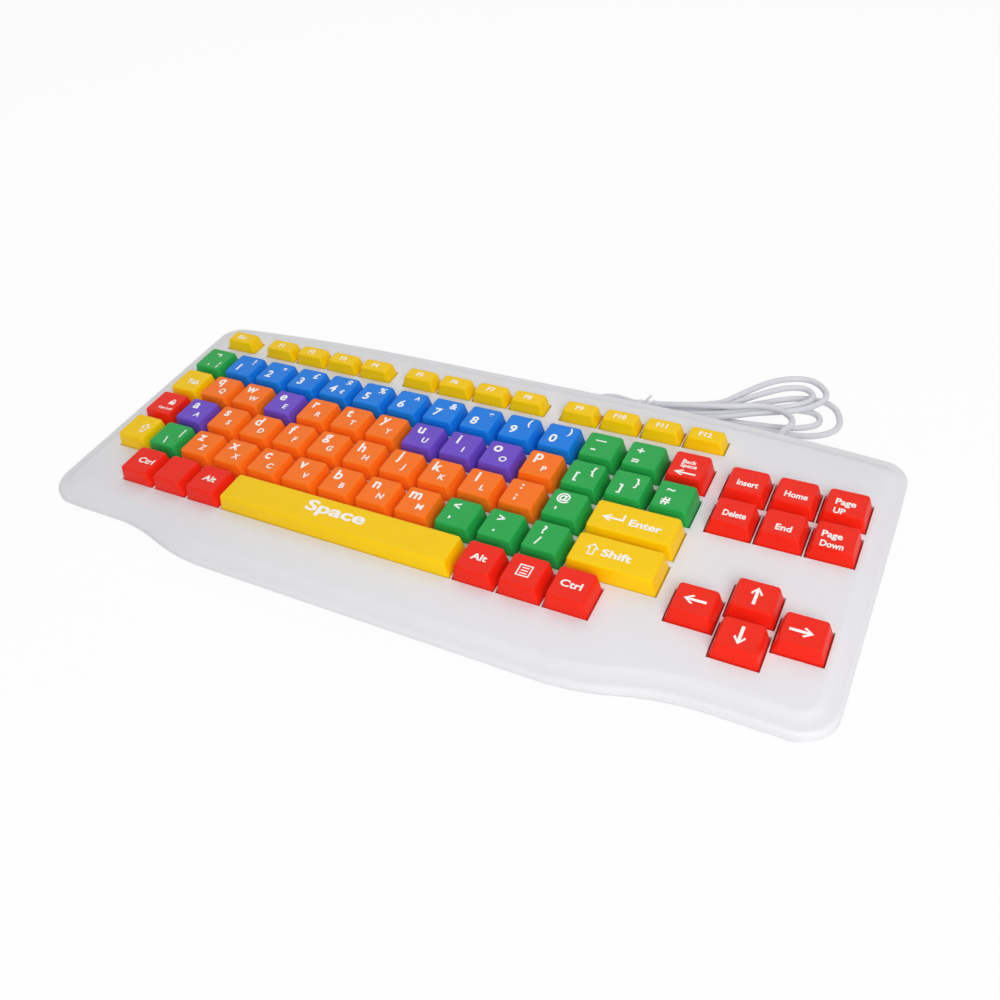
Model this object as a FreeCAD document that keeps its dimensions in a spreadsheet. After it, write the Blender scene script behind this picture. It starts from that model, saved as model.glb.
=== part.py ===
import FreeCAD, Part
import math
import os
import re
import Sketcher

# Children's wired keyboard with very large coloured keys.
# Millimetres and degrees; +X right, +Y towards the rear, +Z up.
# The origin lies on the table under the middle of the housing.
# The deck frame has its origin above that point, on the deck, and leans back with the deck.

Vector = FreeCAD.Vector
Rotation = FreeCAD.Rotation
X_AXIS = Vector(1, 0, 0)
Y_AXIS = Vector(0, 1, 0)
Z_AXIS = Vector(0, 0, 1)
REARWARDS = Rotation(X_AXIS, -90)

doc = FreeCAD.newDocument("large_key_keyboard")

# Driving sizes
SIZES = {
    # key layout
    "key_pitch": 25.4,
    "row_pitch": 25.0,
    "nav_gap": 6.1,
    "function_gap": 11.3,
    "function_depth": 13.8,
    # housing
    "side_margin": 15.0,
    "layout_offset": 3.2,
    "palm_margin": 33.2,
    "rear_margin": 22.9,
    "front_corner_radius": 19.0,
    "corner_radius": 15.0,
    "wing_width": 53.5,
    "wing_setback": 13.2,
    "sweep_length": 82.6,
    "bow_length": 157.4,
    "back_bow_radius": 1400.0,
    "case_wall": 2.4,
    "deck_wall": 3.4,
    "floor_wall": 2.2,
    "foot_height": 1.2,
    "parting_height": 10.6,
    "undercut": 6.8,
    "deck_tilt": 4.5,
    "border_width": 11.0,
    "border_drop": 1.2,
    "edge_bevel": 2.0,
    # key caps
    "key_gap": 0.7,
    "key_height": 10.8,
    "skirt_depth": 1.0,
    "front_slope": 3.8,
    "back_slope": 0.5,
    "side_slope": 2.6,
    "cap_wall": 1.5,
    "function_height": 8.4,
    "function_front_slope": 2.2,
    "function_back_slope": 0.5,
    "key_travel": 3.5,
    # plungers and the wells that guide them
    "plunger_width": 7.0,
    "post_width": 4.0,
    "post_inset": 9.0,
    "plunger_reach": 1.0,
    "slide_clearance": 0.3,
    "well_clearance": 0.2,
    "landing_gap": 1.0,
    "well_floor": 2.0,
    "pan_wall": 1.6,
    # sheets under the keys and the ribs that carry them
    "dome_half_width": 5.6,
    "dome_top_half_width": 4.0,
    "dome_spare": 0.5,
    "sheet_thickness": 0.8,
    "membrane_thickness": 0.6,
    "sheet_margin": 1.5,
    "rib_height": 0.8,
    "rib_thickness": 1.6,
    "rib_spacing": 52.0,
    # electronics
    "board_inset": 5.0,
    "board_gap": 3.0,
    "board_width": 58.0,
    "board_depth": 25.0,
    "board_thickness": 1.6,
    "tail_width": 40.0,
    "clamp_depth": 6.0,
    "clamp_height": 3.0,
    "chip_size": 9.0,
    "chip_height": 1.5,
    "header_width": 10.0,
    "header_depth": 6.0,
    "header_height": 6.0,
    "header_inset": 9.0,
    # screws and bosses
    "boss_radius": 4.0,
    "palm_boss_x": 60.0,
    "palm_boss_inset": 15.5,
    "wing_boss_inset": 13.0,
    "wing_boss_side": 27.5,
    "rear_boss_x": 60.0,
    "rear_outer_boss_x": 128.0,
    "rear_boss_inset": 14.0,
    "screw_radius": 1.4,
    "screw_head_radius": 2.8,
    "screw_head_height": 2.0,
    "screw_clearance": 0.2,
    "head_recess": 2.8,
    "screw_bite": 5.0,
    "board_screw_radius": 1.0,
    "board_screw_head": 1.9,
    "board_screw_inset": 4.5,
    "board_screw_bite": 5.0,
    "board_post_radius": 3.2,
    # feet and tilt legs
    "foot_length": 32.0,
    "foot_width": 9.0,
    "foot_round": 4.0,
    "foot_x": 150.0,
    "foot_inset": 26.0,
    "leg_width": 28.0,
    "leg_length": 22.0,
    "leg_thickness": 5.0,
    "leg_clearance": 0.5,
    "leg_side": 26.5,
    "leg_axis_inset": 25.0,
    "pin_radius": 1.6,
    "pin_length": 2.0,
    "pin_clearance": 0.2,
    "recess_wall": 1.8,
    # cable
    "cable_diameter": 3.8,
    "relief_radius": 4.0,
    "relief_flange": 1.4,
    "relief_lip": 1.6,
    "relief_seat": 0.4,
    "relief_length": 9.0,
    "relief_rim": 0.8,
    "plug_length": 36.0,
    "plug_width": 15.5,
    "plug_height": 8.0,
    "shell_width": 12.0,
    "shell_height": 4.5,
    "shell_length": 18.7,
    "shell_wall": 0.4,
    "plug_bevel": 0.8,
    "tie_gap": 0.1,
    "tie_thickness": 0.7,
    "tie_width": 2.6,
    "tie_wire_radius": 0.8,
    "tie_end_length": 11.0,
}

MAIN_COLUMNS = 14
NAV_COLUMNS = 3
MAIN_ROWS = 5
HALF_COLUMNS = (MAIN_COLUMNS + NAV_COLUMNS) / 2
RIB_COUNT = 8
ROD_SIDES = 8
CABLE_SIDES = 4
BOOT_STEPS = 3

# Sizes that follow from the driving ones
FORMULAS = {
    "layout_width": "(%d * key_pitch + nav_gap)" % (MAIN_COLUMNS + NAV_COLUMNS),
    "layout_depth": "(%d * row_pitch + function_gap + function_depth)" % MAIN_ROWS,
    "case_width": "(layout_width + 2 * side_margin)",
    "case_depth": "(layout_depth * cos(deck_tilt) + palm_margin + rear_margin)",
    "front_y": "(-case_depth / 2)",
    "back_y": "(case_depth / 2)",
    "grid_front": "((front_y + palm_margin) / cos(deck_tilt))",
    "main_left": "(layout_offset - %g * key_pitch - nav_gap / 2)" % HALF_COLUMNS,
    "nav_left": "(layout_offset + %g * key_pitch + nav_gap / 2)" % (MAIN_COLUMNS - HALF_COLUMNS),
    "nav_back": "(grid_front + %d * row_pitch)" % MAIN_ROWS,
    "function_front": "(nav_back + function_gap)",
    "function_back": "(function_front + function_depth)",
    # levels in the deck frame
    "well_bottom": "(-skirt_depth - key_travel - landing_gap)",
    "pan_bottom": "(well_bottom - well_floor)",
    "plunger_bottom": "(pan_bottom - plunger_reach)",
    "post_bottom": "(pan_bottom - plunger_reach / 2)",
    "dome_height": "(key_travel + dome_spare)",
    "sheet_top": "(plunger_bottom - dome_height)",
    "sheet_bottom": "(sheet_top - sheet_thickness)",
    "membrane_bottom": "(sheet_bottom - membrane_thickness)",
    "board_bottom": "(membrane_bottom - board_thickness)",
    "floor_top": "(foot_height + floor_wall)",
    "deck_height": "(floor_top + rib_height - (grid_front - sheet_margin) * sin(deck_tilt)"
                   " - membrane_bottom * cos(deck_tilt))",
    # outline of the housing
    "wing_start": "(case_width / 2 - wing_width)",
    "palm_half_width": "(wing_start - sweep_length)",
    "sweep_radius": "((sweep_length ^ 2 + wing_setback ^ 2) / (4 * wing_setback))",
    "back_flat_half": "(case_width / 2 - bow_length)",
    "bow_run": "(bow_length - corner_radius)",
    "bow_arm": "(back_bow_radius - corner_radius)",
    "bow_centre_y": "(back_y - back_bow_radius)",
    "bow_rise": "sqrt(bow_arm ^ 2 - bow_run ^ 2)",
    # electronics in the deck frame
    "board_left": "(nav_left + board_inset)",
    "board_front": "(nav_back + sheet_margin + board_gap)",
    "header_x": "(board_left + header_inset)",
    "header_back": "(board_front + board_depth)",
    "header_y": "(header_back - header_depth / 2)",
    "header_z": "(membrane_bottom + header_height / 2)",
    # cable exit in the rear wall
    "exit_wall": "(bow_centre_y + sqrt(back_bow_radius ^ 2 - (header_x - back_flat_half) ^ 2))",
    "exit_height": "(deck_height + header_y * sin(deck_tilt) + header_z * cos(deck_tilt))",
    # tilt legs
    "leg_x": "(case_width / 2 - leg_side)",
    "leg_axis_y": "(back_y - leg_axis_inset)",
    "leg_axis_z": "(foot_height + leg_thickness / 2)",
}

sheet = doc.addObject("Spreadsheet::Sheet", "Sizes")
for row, (alias, number) in enumerate(SIZES.items(), start=1):
    sheet.set("A%d" % row, alias)
    sheet.set("B%d" % row, str(number))
    sheet.setAlias("B%d" % row, alias)
doc.recompute()


def word_pattern(words):
    return re.compile(r"\b(%s)\b" % "|".join(words))


ALIAS_WORDS = word_pattern(SIZES)
FORMULA_WORDS = word_pattern(FORMULAS)


def bound(formula):
    """The formula with derived sizes written out and driving sizes taken from the sheet."""
    while FORMULA_WORDS.search(formula):
        formula = FORMULA_WORDS.sub(lambda found: FORMULAS[found.group(1)], formula)
    return ALIAS_WORDS.sub(r"Sizes.\1", formula)


def bind(thing, **formulas):
    """Tie properties to formulas; two underscores stand for a dot."""
    for name, formula in formulas.items():
        thing.setExpression(name.replace("__", "."), bound(formula))


probe = doc.addObject("App::FeaturePython", "Probe")
probe.addProperty("App::PropertyFloat", "Reading")


def value(formula):
    """The number that a formula of sizes comes to."""
    probe.setExpression("Reading", bound(formula))
    probe.recompute()
    return probe.Reading


# Sketch and feature helpers
def origin_plane(body, role):
    return next(item for item in body.Origin.OriginFeatures if item.Role == role)


def new_body(name):
    return doc.addObject("PartDesign::Body", name)


def tangent_arc(start, heading, end):
    """Arc of less than half a turn that leaves start along heading and reaches end."""
    side = Vector(-heading.y, heading.x, 0).normalize()
    chord = end - start
    radius = chord.dot(chord) / (2 * chord.dot(side))
    centre = start + side * radius
    outward = ((start + end) * 0.5 - centre).normalize()
    return Part.Arc(start, centre + outward * abs(radius), end)


def profile(body, name, role, height, corners):
    """Closed sketch through corners (x, y, kind of the edge that leaves the corner).

    An edge is a line, an "arc on" that leaves the edge before it smoothly, or an
    "arc off" that runs smoothly into the edge after it.
    """
    sketch = body.newObject("Sketcher::SketchObject", name)
    sketch.AttachmentSupport = [(origin_plane(body, role), "")]
    sketch.MapMode = "FlatFace"
    bind(sketch, AttachmentOffset__Base__z=height)
    points = [Vector(value(x), value(y), 0) for x, y, kind in corners]
    kinds = [kind for x, y, kind in corners]
    count = len(corners)
    first = []
    last = []
    for index, kind in enumerate(kinds):
        start = points[index]
        end = points[(index + 1) % count]
        if kind == "arc on":
            edge = tangent_arc(start, start - points[index - 1], end)
        elif kind == "arc off":
            edge = tangent_arc(end, end - points[(index + 2) % count], start)
        else:
            edge = Part.LineSegment(start, end)
        sketch.addGeometry(edge, False)
        to_first = sketch.getPoint(index, 1).distanceToPoint(start)
        to_second = sketch.getPoint(index, 2).distanceToPoint(start)
        first.append(1 if to_first < to_second else 2)
        last.append(2 if to_first < to_second else 1)
    for index, (x, y, kind) in enumerate(corners):
        before = (index - 1) % count
        smooth = kind == "arc on" or kinds[before] == "arc off"
        join = "Tangent" if smooth else "Coincident"
        sketch.addConstraint(Sketcher.Constraint(join, before, last[before], index, first[index]))
        for direction, formula in (("DistanceX", x), ("DistanceY", y)):
            tie = Sketcher.Constraint(direction, -1, 1, index, first[index], value(formula))
            number = sketch.addConstraint(tie)
            sketch.setExpression("Constraints[%d]" % number, bound(formula))
    return sketch


def polygon(*points):
    return [(x, y, "line") for x, y in points]


def rectangle(left, right, front, back):
    return polygon((left, front), (right, front), (right, back), (left, back))


def octagon(left, right, front, back, corner):
    """Rectangle with cut corners."""
    near_left = "(%s + %s)" % (left, corner)
    near_right = "(%s - %s)" % (right, corner)
    near_front = "(%s + %s)" % (front, corner)
    near_back = "(%s - %s)" % (back, corner)
    return polygon((near_left, front), (near_right, front), (right, near_front), (right, near_back),
                   (near_right, back), (near_left, back), (left, near_back), (left, near_front))


def extrude(kind, body, sketch, length, symmetric=False, reverse=False):
    feature = body.newObject("PartDesign::" + kind, "%s_%s" % (sketch.Name, kind.lower()))
    feature.Profile = sketch
    feature.Midplane = symmetric
    feature.Reversed = reverse
    bind(feature, Length=length)
    return feature


def loft(kind, body, lower, upper):
    feature = body.newObject("PartDesign::" + kind, upper.Name + "_loft")
    feature.Profile = lower
    feature.Sections = [upper]
    feature.Ruled = True
    return feature


def dress(kind, body, test, members, **formulas):
    """Chamfer, draft or hollow on the edges or faces of the body so far that pass the test."""
    doc.recompute()
    base = body.Tip
    pieces = getattr(base.Shape, members)
    names = ["%s%d" % (members[:-1], number) for number, piece in enumerate(pieces, start=1) if test(piece)]
    feature = body.newObject("PartDesign::" + kind, "%s_%s" % (body.Name, kind.lower()))
    feature.Base = (base, names)
    bind(feature, **formulas)
    return feature


def middle(edge):
    return edge.valueAt((edge.FirstParameter + edge.LastParameter) / 2)


def merge(name, things):
    feature = doc.addObject("Part::MultiFuse", name)
    feature.Shapes = things
    feature.Refine = True
    return feature


def group(name, things):
    feature = doc.addObject("Part::Compound", name)
    feature.Links = things
    return feature


def cut(name, base, tool):
    feature = doc.addObject("Part::Cut", name)
    feature.Base = base
    feature.Tool = tool
    return feature


def place(thing, x, y, z):
    bind(thing, Placement__Base__x=x, Placement__Base__y=y, Placement__Base__z=z)
    return thing


def place_on_deck(thing, x="0", y="0", z="0"):
    """Set a thing in the deck frame, so that it leans back with the deck."""
    thing.Placement = FreeCAD.Placement(Vector(), Rotation(X_AXIS, value("deck_tilt")))
    bind(thing, Placement__Rotation__Angle="deck_tilt")
    return place(thing, x,
                 "(%s) * cos(deck_tilt) - (%s) * sin(deck_tilt)" % (y, z),
                 "deck_height + (%s) * sin(deck_tilt) + (%s) * cos(deck_tilt)" % (y, z))


def box(name, left, right, front, back, bottom, top):
    block = doc.addObject("Part::Box", name)
    bind(block, Length="(%s) - (%s)" % (right, left), Width="(%s) - (%s)" % (back, front),
         Height="(%s) - (%s)" % (top, bottom))
    return block


def deck_box(name, left, right, front, back, bottom, top):
    return place_on_deck(box(name, left, right, front, back, bottom, top), left, front, bottom)


def level_box(name, left, right, front, back, bottom, top):
    return place(box(name, left, right, front, back, bottom, top), left, front, bottom)


def rod(name, radius, height):
    """Upright bar of few sides, for the many small rounds that stay out of sight."""
    bar = doc.addObject("Part::Prism", name)
    bar.Polygon = ROD_SIDES
    bind(bar, Circumradius=radius, Height=height)
    return bar


def level_rod(name, radius, x, y, bottom, top):
    return place(rod(name, radius, "(%s) - (%s)" % (top, bottom)), x, y, bottom)


def deck_rod(name, radius, x, y, bottom, top):
    return place_on_deck(rod(name, radius, "(%s) - (%s)" % (top, bottom)), x, y, bottom)


def rear_rod(name, radius, start, end):
    """Bar on the line of the cable's exit; start and end count from the rear wall's outer face."""
    bar = rod(name, radius, "(%s) - (%s)" % (end, start))
    bar.Placement = FreeCAD.Placement(Vector(), REARWARDS)
    return place(bar, "header_x", "exit_wall + (%s)" % start, "exit_height")


def copy_of(name, thing):
    return group(name, [thing])


# Key layout: places of key centres in the deck frame
def main_x(columns):
    return "(main_left + %g * key_pitch)" % columns


def nav_x(columns):
    return "(nav_left + %g * key_pitch)" % columns


def row_y(rows):
    return "(grid_front + %g * row_pitch)" % rows


FUNCTION_Y = "((function_front + function_back) / 2)"
FUNCTION_GROUPS = [(0, 1), (1, 4), (5, 4), (9, 4)]


def function_left(group_index):
    """Left edge, in columns, of a group of function keys; the gaps share one spare column."""
    first = FUNCTION_GROUPS[group_index][0]
    return first + group_index / (len(FUNCTION_GROUPS) - 1)


def main_keys(row, first, last):
    return [(main_x(column + 0.5), row_y(row + 0.5)) for column in range(first, last + 1)]


def function_keys(group_index):
    left = function_left(group_index)
    count = FUNCTION_GROUPS[group_index][1]
    return [(main_x(left + place_in_group + 0.5), FUNCTION_Y) for place_in_group in range(count)]


def nav_key(column, row):
    return [(nav_x(column + 0.5), row_y(row + 0.5))]


def wide_key(row, first, units):
    return [(main_x(first + units / 2), row_y(row + 0.5))]


# Node name, cap size and key places; rows count from the front
KEYS = [
    ("key_escape", "function", function_keys(0)),
    ("keys_f1_to_f4", "function", function_keys(1)),
    ("keys_f5_to_f8", "function", function_keys(2)),
    ("keys_f9_to_f12", "function", function_keys(3)),
    ("keys_number_row_signs", "single", main_keys(4, 0, 0) + main_keys(4, 11, 12)),
    ("keys_digits", "single", main_keys(4, 1, 10)),
    ("key_backspace", "single", main_keys(4, 13, 13)),
    ("key_tab", "single", main_keys(3, 0, 0)),
    ("keys_top_letters", "single", main_keys(3, 1, 2) + main_keys(3, 4, 6) + main_keys(3, 10, 10)),
    ("key_e", "single", main_keys(3, 3, 3)),
    ("key_u", "single", main_keys(3, 7, 7)),
    ("key_i", "single", main_keys(3, 8, 8)),
    ("key_o", "single", main_keys(3, 9, 9)),
    ("keys_bracket_signs", "single", main_keys(3, 11, 13) + main_keys(2, 11, 11)),
    ("key_caps_lock", "single", main_keys(2, 0, 0)),
    ("key_a", "single", main_keys(2, 1, 1)),
    ("keys_home_letters", "single", main_keys(2, 2, 10)),
    ("key_enter", "double", wide_key(2, 12, 2)),
    ("key_left_shift", "single", main_keys(1, 0, 0)),
    ("keys_low_row_signs", "single", main_keys(1, 1, 1) + main_keys(1, 9, 11)),
    ("keys_low_letters", "single", main_keys(1, 2, 8)),
    ("key_right_shift", "double", wide_key(1, 12, 2)),
    ("key_left_control", "single", main_keys(0, 1, 1)),
    ("key_system", "single", main_keys(0, 2, 2)),
    ("key_left_alt", "single", main_keys(0, 3, 3)),
    ("key_space", "space", wide_key(0, 4, 6)),
    ("key_right_alt", "single", main_keys(0, 10, 10)),
    ("key_menu", "single", main_keys(0, 11, 11)),
    ("key_right_control", "single", main_keys(0, 12, 12)),
    ("key_insert", "single", nav_key(0, 4)),
    ("key_home", "single", nav_key(1, 4)),
    ("key_page_up", "single", nav_key(2, 4)),
    ("key_delete", "single", nav_key(0, 3)),
    ("key_end", "single", nav_key(1, 3)),
    ("key_page_down", "single", nav_key(2, 3)),
    ("key_arrow_up", "single", nav_key(1, 1)),
    ("key_arrow_down", "single", nav_key(1, 0)),
    ("key_arrow_left", "single", nav_key(0, 0.5)),
    ("key_arrow_right", "single", nav_key(2, 0.5)),
]

# Cap size: width in columns, depth, height and slopes
CAPS = {
    "single": (1, "row_pitch", "key_height", "front_slope", "back_slope"),
    "double": (2, "row_pitch", "key_height", "front_slope", "back_slope"),
    "space": (6, "row_pitch", "key_height", "front_slope", "back_slope"),
    "function": (1, "function_depth", "function_height", "function_front_slope", "function_back_slope"),
}


def post_places(units):
    """Middles of the guide posts near both ends of a wide key."""
    if units == 1:
        return []
    reach = "(%g * key_pitch - post_inset)" % (units / 2)
    return ["(-%s)" % reach, reach]


def key_cap(size):
    """Tapered hollow cap whose front slope is the longest, on its plunger and guide posts."""
    units, depth, height, front, back = CAPS[size]
    half_width = "((%d * key_pitch - key_gap) / 2)" % units
    half_depth = "((%s - key_gap) / 2)" % depth
    body = new_body(size + "_cap")

    def sketch(name, role, level, corners):
        return profile(body, "%s_%s" % (size, name), role, level, corners)

    extrude("Pad", body, sketch("side", "YZ_Plane", "0", polygon(
        ("(-%s)" % half_depth, "(-skirt_depth)"), (half_depth, "(-skirt_depth)"),
        ("(%s - %s)" % (half_depth, back), height), ("(%s - %s)" % (front, half_depth), height))),
        "2 * %s" % half_width, symmetric=True)
    for name, side in (("left", "-"), ("right", "")):
        foot = "(%s%s)" % (side, half_width)
        extrude("Pocket", body, sketch(name, "XZ_Plane", "0", polygon(
            (foot, "(-skirt_depth)"), ("(%s(%s - side_slope))" % (side, half_width), height),
            (foot, height))), "2 * row_pitch", symmetric=True)
    dress("Thickness", body, faces_down, "Faces", Value="cap_wall")
    body.Tip.Reversed = True
    body.Tip.Join = "Intersection"
    stems = [("plunger", "0", "plunger_width", "plunger_bottom")]
    stems += [("post_%d" % number, x, "post_width", "post_bottom")
              for number, x in enumerate(post_places(units))]
    for name, x, width, bottom in stems:
        half = "(%s / 2)" % width
        square = rectangle("%s - %s" % (x, half), "%s + %s" % (x, half), "(-%s)" % half, half)
        extrude("Pad", body, sketch(name, "XY_Plane", bottom, square),
                "%s - cap_wall / 2 - %s" % (height, bottom))
    return body


def faces_down(face):
    return face.normalAt(0, 0).z < -0.9


# Housing outline, shared by both halves; inset is measured inwards from the outer wall
def outline(inset):
    """Right half from the palm rest round to the rear, then the left half as its mirror image."""
    side_x = "(case_width / 2 - %s)" % inset
    corner_x = "(case_width / 2 - front_corner_radius)"
    wing_y = "(front_y + wing_setback + %s)" % inset
    bow_share = "((back_bow_radius - %s) / bow_arm)" % inset
    right = [
        ("palm_half_width", "(front_y + %s)" % inset),
        ("((palm_half_width + wing_start) / 2 - %s * sweep_length / (2 * sweep_radius))" % inset,
         "(front_y + wing_setback / 2 + %s * (1 - wing_setback / (2 * sweep_radius)))" % inset),
        ("wing_start", wing_y),
        (corner_x, wing_y),
        (side_x, "(front_y + wing_setback + front_corner_radius)"),
        (side_x, "(bow_centre_y + bow_rise)"),
        ("(back_flat_half + bow_run * %s)" % bow_share, "(bow_centre_y + bow_rise * %s)" % bow_share),
        ("back_flat_half", "(back_y - %s)" % inset),
    ]
    left = [("(-%s)" % x, y) for x, y in reversed(right)]
    kinds = ["arc on", "arc off", "line", "arc on", "line", "arc on", "arc off", "line"]
    return [(x, y, kind) for (x, y), kind in zip(right + left, kinds + kinds)]


def deck_line(y, below):
    """Height of the deck at y, lowered by a depth square to the deck."""
    return "(deck_height + (%s) * tan(deck_tilt) - (%s) / cos(deck_tilt))" % (y, below)


def housing_block(name, inset, bottom, below):
    """The outline raised from bottom to the sloping deck."""
    body = new_body(name)
    sketch = profile(body, name + "_outline", "XY_Plane", bottom, outline(inset))
    extrude("Pad", body, sketch, "%s - %s" % (deck_line("case_depth", "0"), bottom))
    above = profile(body, name + "_deck", "YZ_Plane", "0", polygon(
        ("(-case_depth)", deck_line("-case_depth", below)), ("case_depth", deck_line("case_depth", below)),
        ("case_depth", "2 * case_depth"), ("(-case_depth)", "2 * case_depth")))
    extrude("Pocket", body, above, "2 * case_width", symmetric=True)
    return body


def on_deck_surface(edge):
    point = middle(edge)
    surface = value(deck_line("0", "border_drop")) + point.y * math.tan(math.radians(value("deck_tilt")))
    return abs(point.z - surface) < 0.01


WELLS = [
    (main_x(0), main_x(MAIN_COLUMNS), row_y(1), row_y(MAIN_ROWS)),
    (main_x(1), main_x(MAIN_COLUMNS - 1), row_y(0), row_y(1.5)),
    (nav_x(0), nav_x(NAV_COLUMNS), row_y(3), row_y(MAIN_ROWS)),
    (nav_x(0), nav_x(NAV_COLUMNS), row_y(0.5), row_y(1.5)),
    (nav_x(1), nav_x(2), row_y(0), row_y(2)),
]
for group_number, (first_key, key_count) in enumerate(FUNCTION_GROUPS):
    group_left = function_left(group_number)
    WELLS.append((main_x(group_left), main_x(group_left + key_count), "function_front", "function_back"))

BOSSES = [
    ("palm_boss_x", "(front_y + palm_boss_inset)"),
    ("(case_width / 2 - wing_boss_side)", "(front_y + wing_setback + wing_boss_inset)"),
    ("rear_boss_x", "(back_y - rear_boss_inset)"),
    ("rear_outer_boss_x", "(back_y - rear_boss_inset)"),
]
BOSSES += [("(-%s)" % x, y) for x, y in BOSSES]


def grown(well, margin):
    left, right, front, back = well
    return ("%s - (%s)" % (left, margin), "%s + %s" % (right, margin),
            "%s - (%s)" % (front, margin), "%s + %s" % (back, margin))


def guide_holes():
    """Square holes in the well floors for plungers and guide posts."""
    holes = []
    for node, size, places in KEYS:
        units = CAPS[size][0]
        for number, (x, y) in enumerate(places):
            stems = [(x, "plunger_width")]
            stems += [("%s + %s" % (x, post), "post_width") for post in post_places(units)]
            for stem_number, (stem_x, width) in enumerate(stems):
                half = "(%s / 2 + slide_clearance)" % width
                holes.append(deck_box("%s_%d_%d_hole" % (node, number, stem_number),
                                      "%s - %s" % (stem_x, half), "%s + %s" % (stem_x, half),
                                      "%s - %s" % (y, half), "%s + %s" % (y, half),
                                      "pan_bottom - well_floor", "well_bottom + landing_gap"))
    return holes


def make_top_case():
    block = housing_block("top_block", "0", "parting_height", "border_drop")
    dress("Chamfer", block, on_deck_surface, "Edges", Size="edge_bevel")
    plateau = new_body("deck_plateau")
    loft("AdditiveLoft", plateau,
         profile(plateau, "plateau_foot", "XY_Plane", "-2 * border_drop", outline("border_width / 3")),
         profile(plateau, "plateau_top", "XY_Plane", "0", outline("border_width")))
    place_on_deck(plateau)
    hollow = housing_block("top_hollow", "case_wall", "parting_height - case_wall", "deck_wall")
    shell = cut("top_shell", merge("top_solid", [block, plateau]), hollow)
    solids = [shell]
    for number, well in enumerate(WELLS):
        solids.append(deck_box("pan_%d" % number, *grown(well, "well_clearance + pan_wall"),
                               "pan_bottom", "(-deck_wall / 2)"))
    for number, (x, y) in enumerate(BOSSES):
        solids.append(level_rod("top_boss_%d" % number, "boss_radius", x, y, "parting_height",
                               deck_line(y, "deck_wall / 2")))
    tools = guide_holes()
    for number, well in enumerate(WELLS):
        tools.append(deck_box("well_%d" % number, *grown(well, "well_clearance"), "well_bottom", "deck_wall"))
    for number, (x, y) in enumerate(BOSSES):
        tools.append(level_rod("pilot_%d" % number, "screw_radius + screw_clearance / 2", x, y,
                              "parting_height - screw_bite", "parting_height + screw_bite + screw_clearance"))
    tools.append(rear_rod("relief_hole", "relief_radius + screw_clearance",
                          "-4 * case_wall", "2 * case_wall"))
    return cut("top_case", merge("top_parts", solids), group("top_tools", tools))


nodes = {}
caps = {size: key_cap(size) for size in CAPS}
nodes["top_case"] = make_top_case()
for node, size, places in KEYS:
    copies = [place_on_deck(copy_of("%s_%d" % (node, number), caps[size]), x, y)
              for number, (x, y) in enumerate(places)]
    nodes[node] = group(node, copies) if len(copies) > 1 else copies[0]


# Sheets under the keys: every plunger rests on a rubber dome
SHEET_BLOCKS = [
    ("%s - sheet_margin" % main_x(0), "%s + sheet_margin" % main_x(MAIN_COLUMNS),
     "grid_front - sheet_margin", "function_back + sheet_margin"),
    (main_x(MAIN_COLUMNS - 1), "%s + sheet_margin" % nav_x(NAV_COLUMNS),
     "grid_front - sheet_margin", "nav_back + sheet_margin"),
]


def sheet_blocks(name, bottom, top):
    return [deck_box("%s_%d" % (name, number), *block, bottom, top)
            for number, block in enumerate(SHEET_BLOCKS)]


def make_dome_sheet():
    dome = new_body("dome")
    square = rectangle("(-dome_half_width)", "dome_half_width", "(-dome_half_width)", "dome_half_width")
    plan = profile(dome, "dome_plan", "XY_Plane", "sheet_top", square)
    extrude("Pad", dome, plan, "dome_height")
    lean = dress("Draft", dome, lambda face: abs(face.normalAt(0, 0).z) < 0.1, "Faces",
                 Angle="atan((dome_half_width - dome_top_half_width) / dome_height)")
    foot = next(number for number, face in enumerate(lean.Base[0].Shape.Faces, start=1) if faces_down(face))
    lean.NeutralPlane = (lean.Base[0], ["Face%d" % foot])
    domes = [place_on_deck(copy_of("%s_%d_dome" % (node, number), dome), x, y)
             for node, size, places in KEYS for number, (x, y) in enumerate(places)]
    return merge("rubber_dome_sheet", sheet_blocks("sheet", "sheet_bottom", "sheet_top") + domes)


BOARD_MIDDLE = "(board_left + board_width / 2)"
CLAMP_Y = "(board_front + clamp_depth / 2)"
CLAMP_TOP = "(sheet_bottom + clamp_height)"
BOARD_SCREWS = ["(board_left + board_screw_inset)", "(board_left + board_width - board_screw_inset)"]


def make_membrane():
    tail = deck_box("membrane_tail", "%s - tail_width / 2" % BOARD_MIDDLE,
                    "%s + tail_width / 2" % BOARD_MIDDLE, "nav_back", "board_front + clamp_depth",
                    "membrane_bottom", "sheet_bottom")
    return merge("membrane_circuit", sheet_blocks("film", "membrane_bottom", "sheet_bottom") + [tail])


def screw_holes(name, bottom, top):
    return [deck_rod("%s_hole_%d" % (name, number), "board_screw_radius + screw_clearance", x, CLAMP_Y,
                          bottom, top) for number, x in enumerate(BOARD_SCREWS)]


def make_board():
    plate = deck_box("board_plate", "board_left", "board_left + board_width", "board_front",
                     "board_front + board_depth", "board_bottom", "membrane_bottom")
    holes = screw_holes("board", "board_bottom - board_thickness", "membrane_bottom + board_thickness")
    return cut("controller_board", plate, group("board_holes", holes))


def make_clamp():
    bar = deck_box("clamp_bar", "board_left", "board_left + board_width", "board_front",
                   "board_front + clamp_depth", "membrane_bottom", CLAMP_TOP)
    half_slot = "(tail_width / 2 + screw_clearance)"
    slot = deck_box("clamp_slot",
                    "%s - %s" % (BOARD_MIDDLE, half_slot), "%s + %s" % (BOARD_MIDDLE, half_slot),
                    "board_front - clamp_depth", "board_front + 2 * clamp_depth",
                    "membrane_bottom - clamp_height", "sheet_bottom")
    holes = screw_holes("clamp", "membrane_bottom - clamp_height", "%s + clamp_height" % CLAMP_TOP)
    return cut("membrane_clamp", bar, group("clamp_tools", [slot] + holes))


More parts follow.
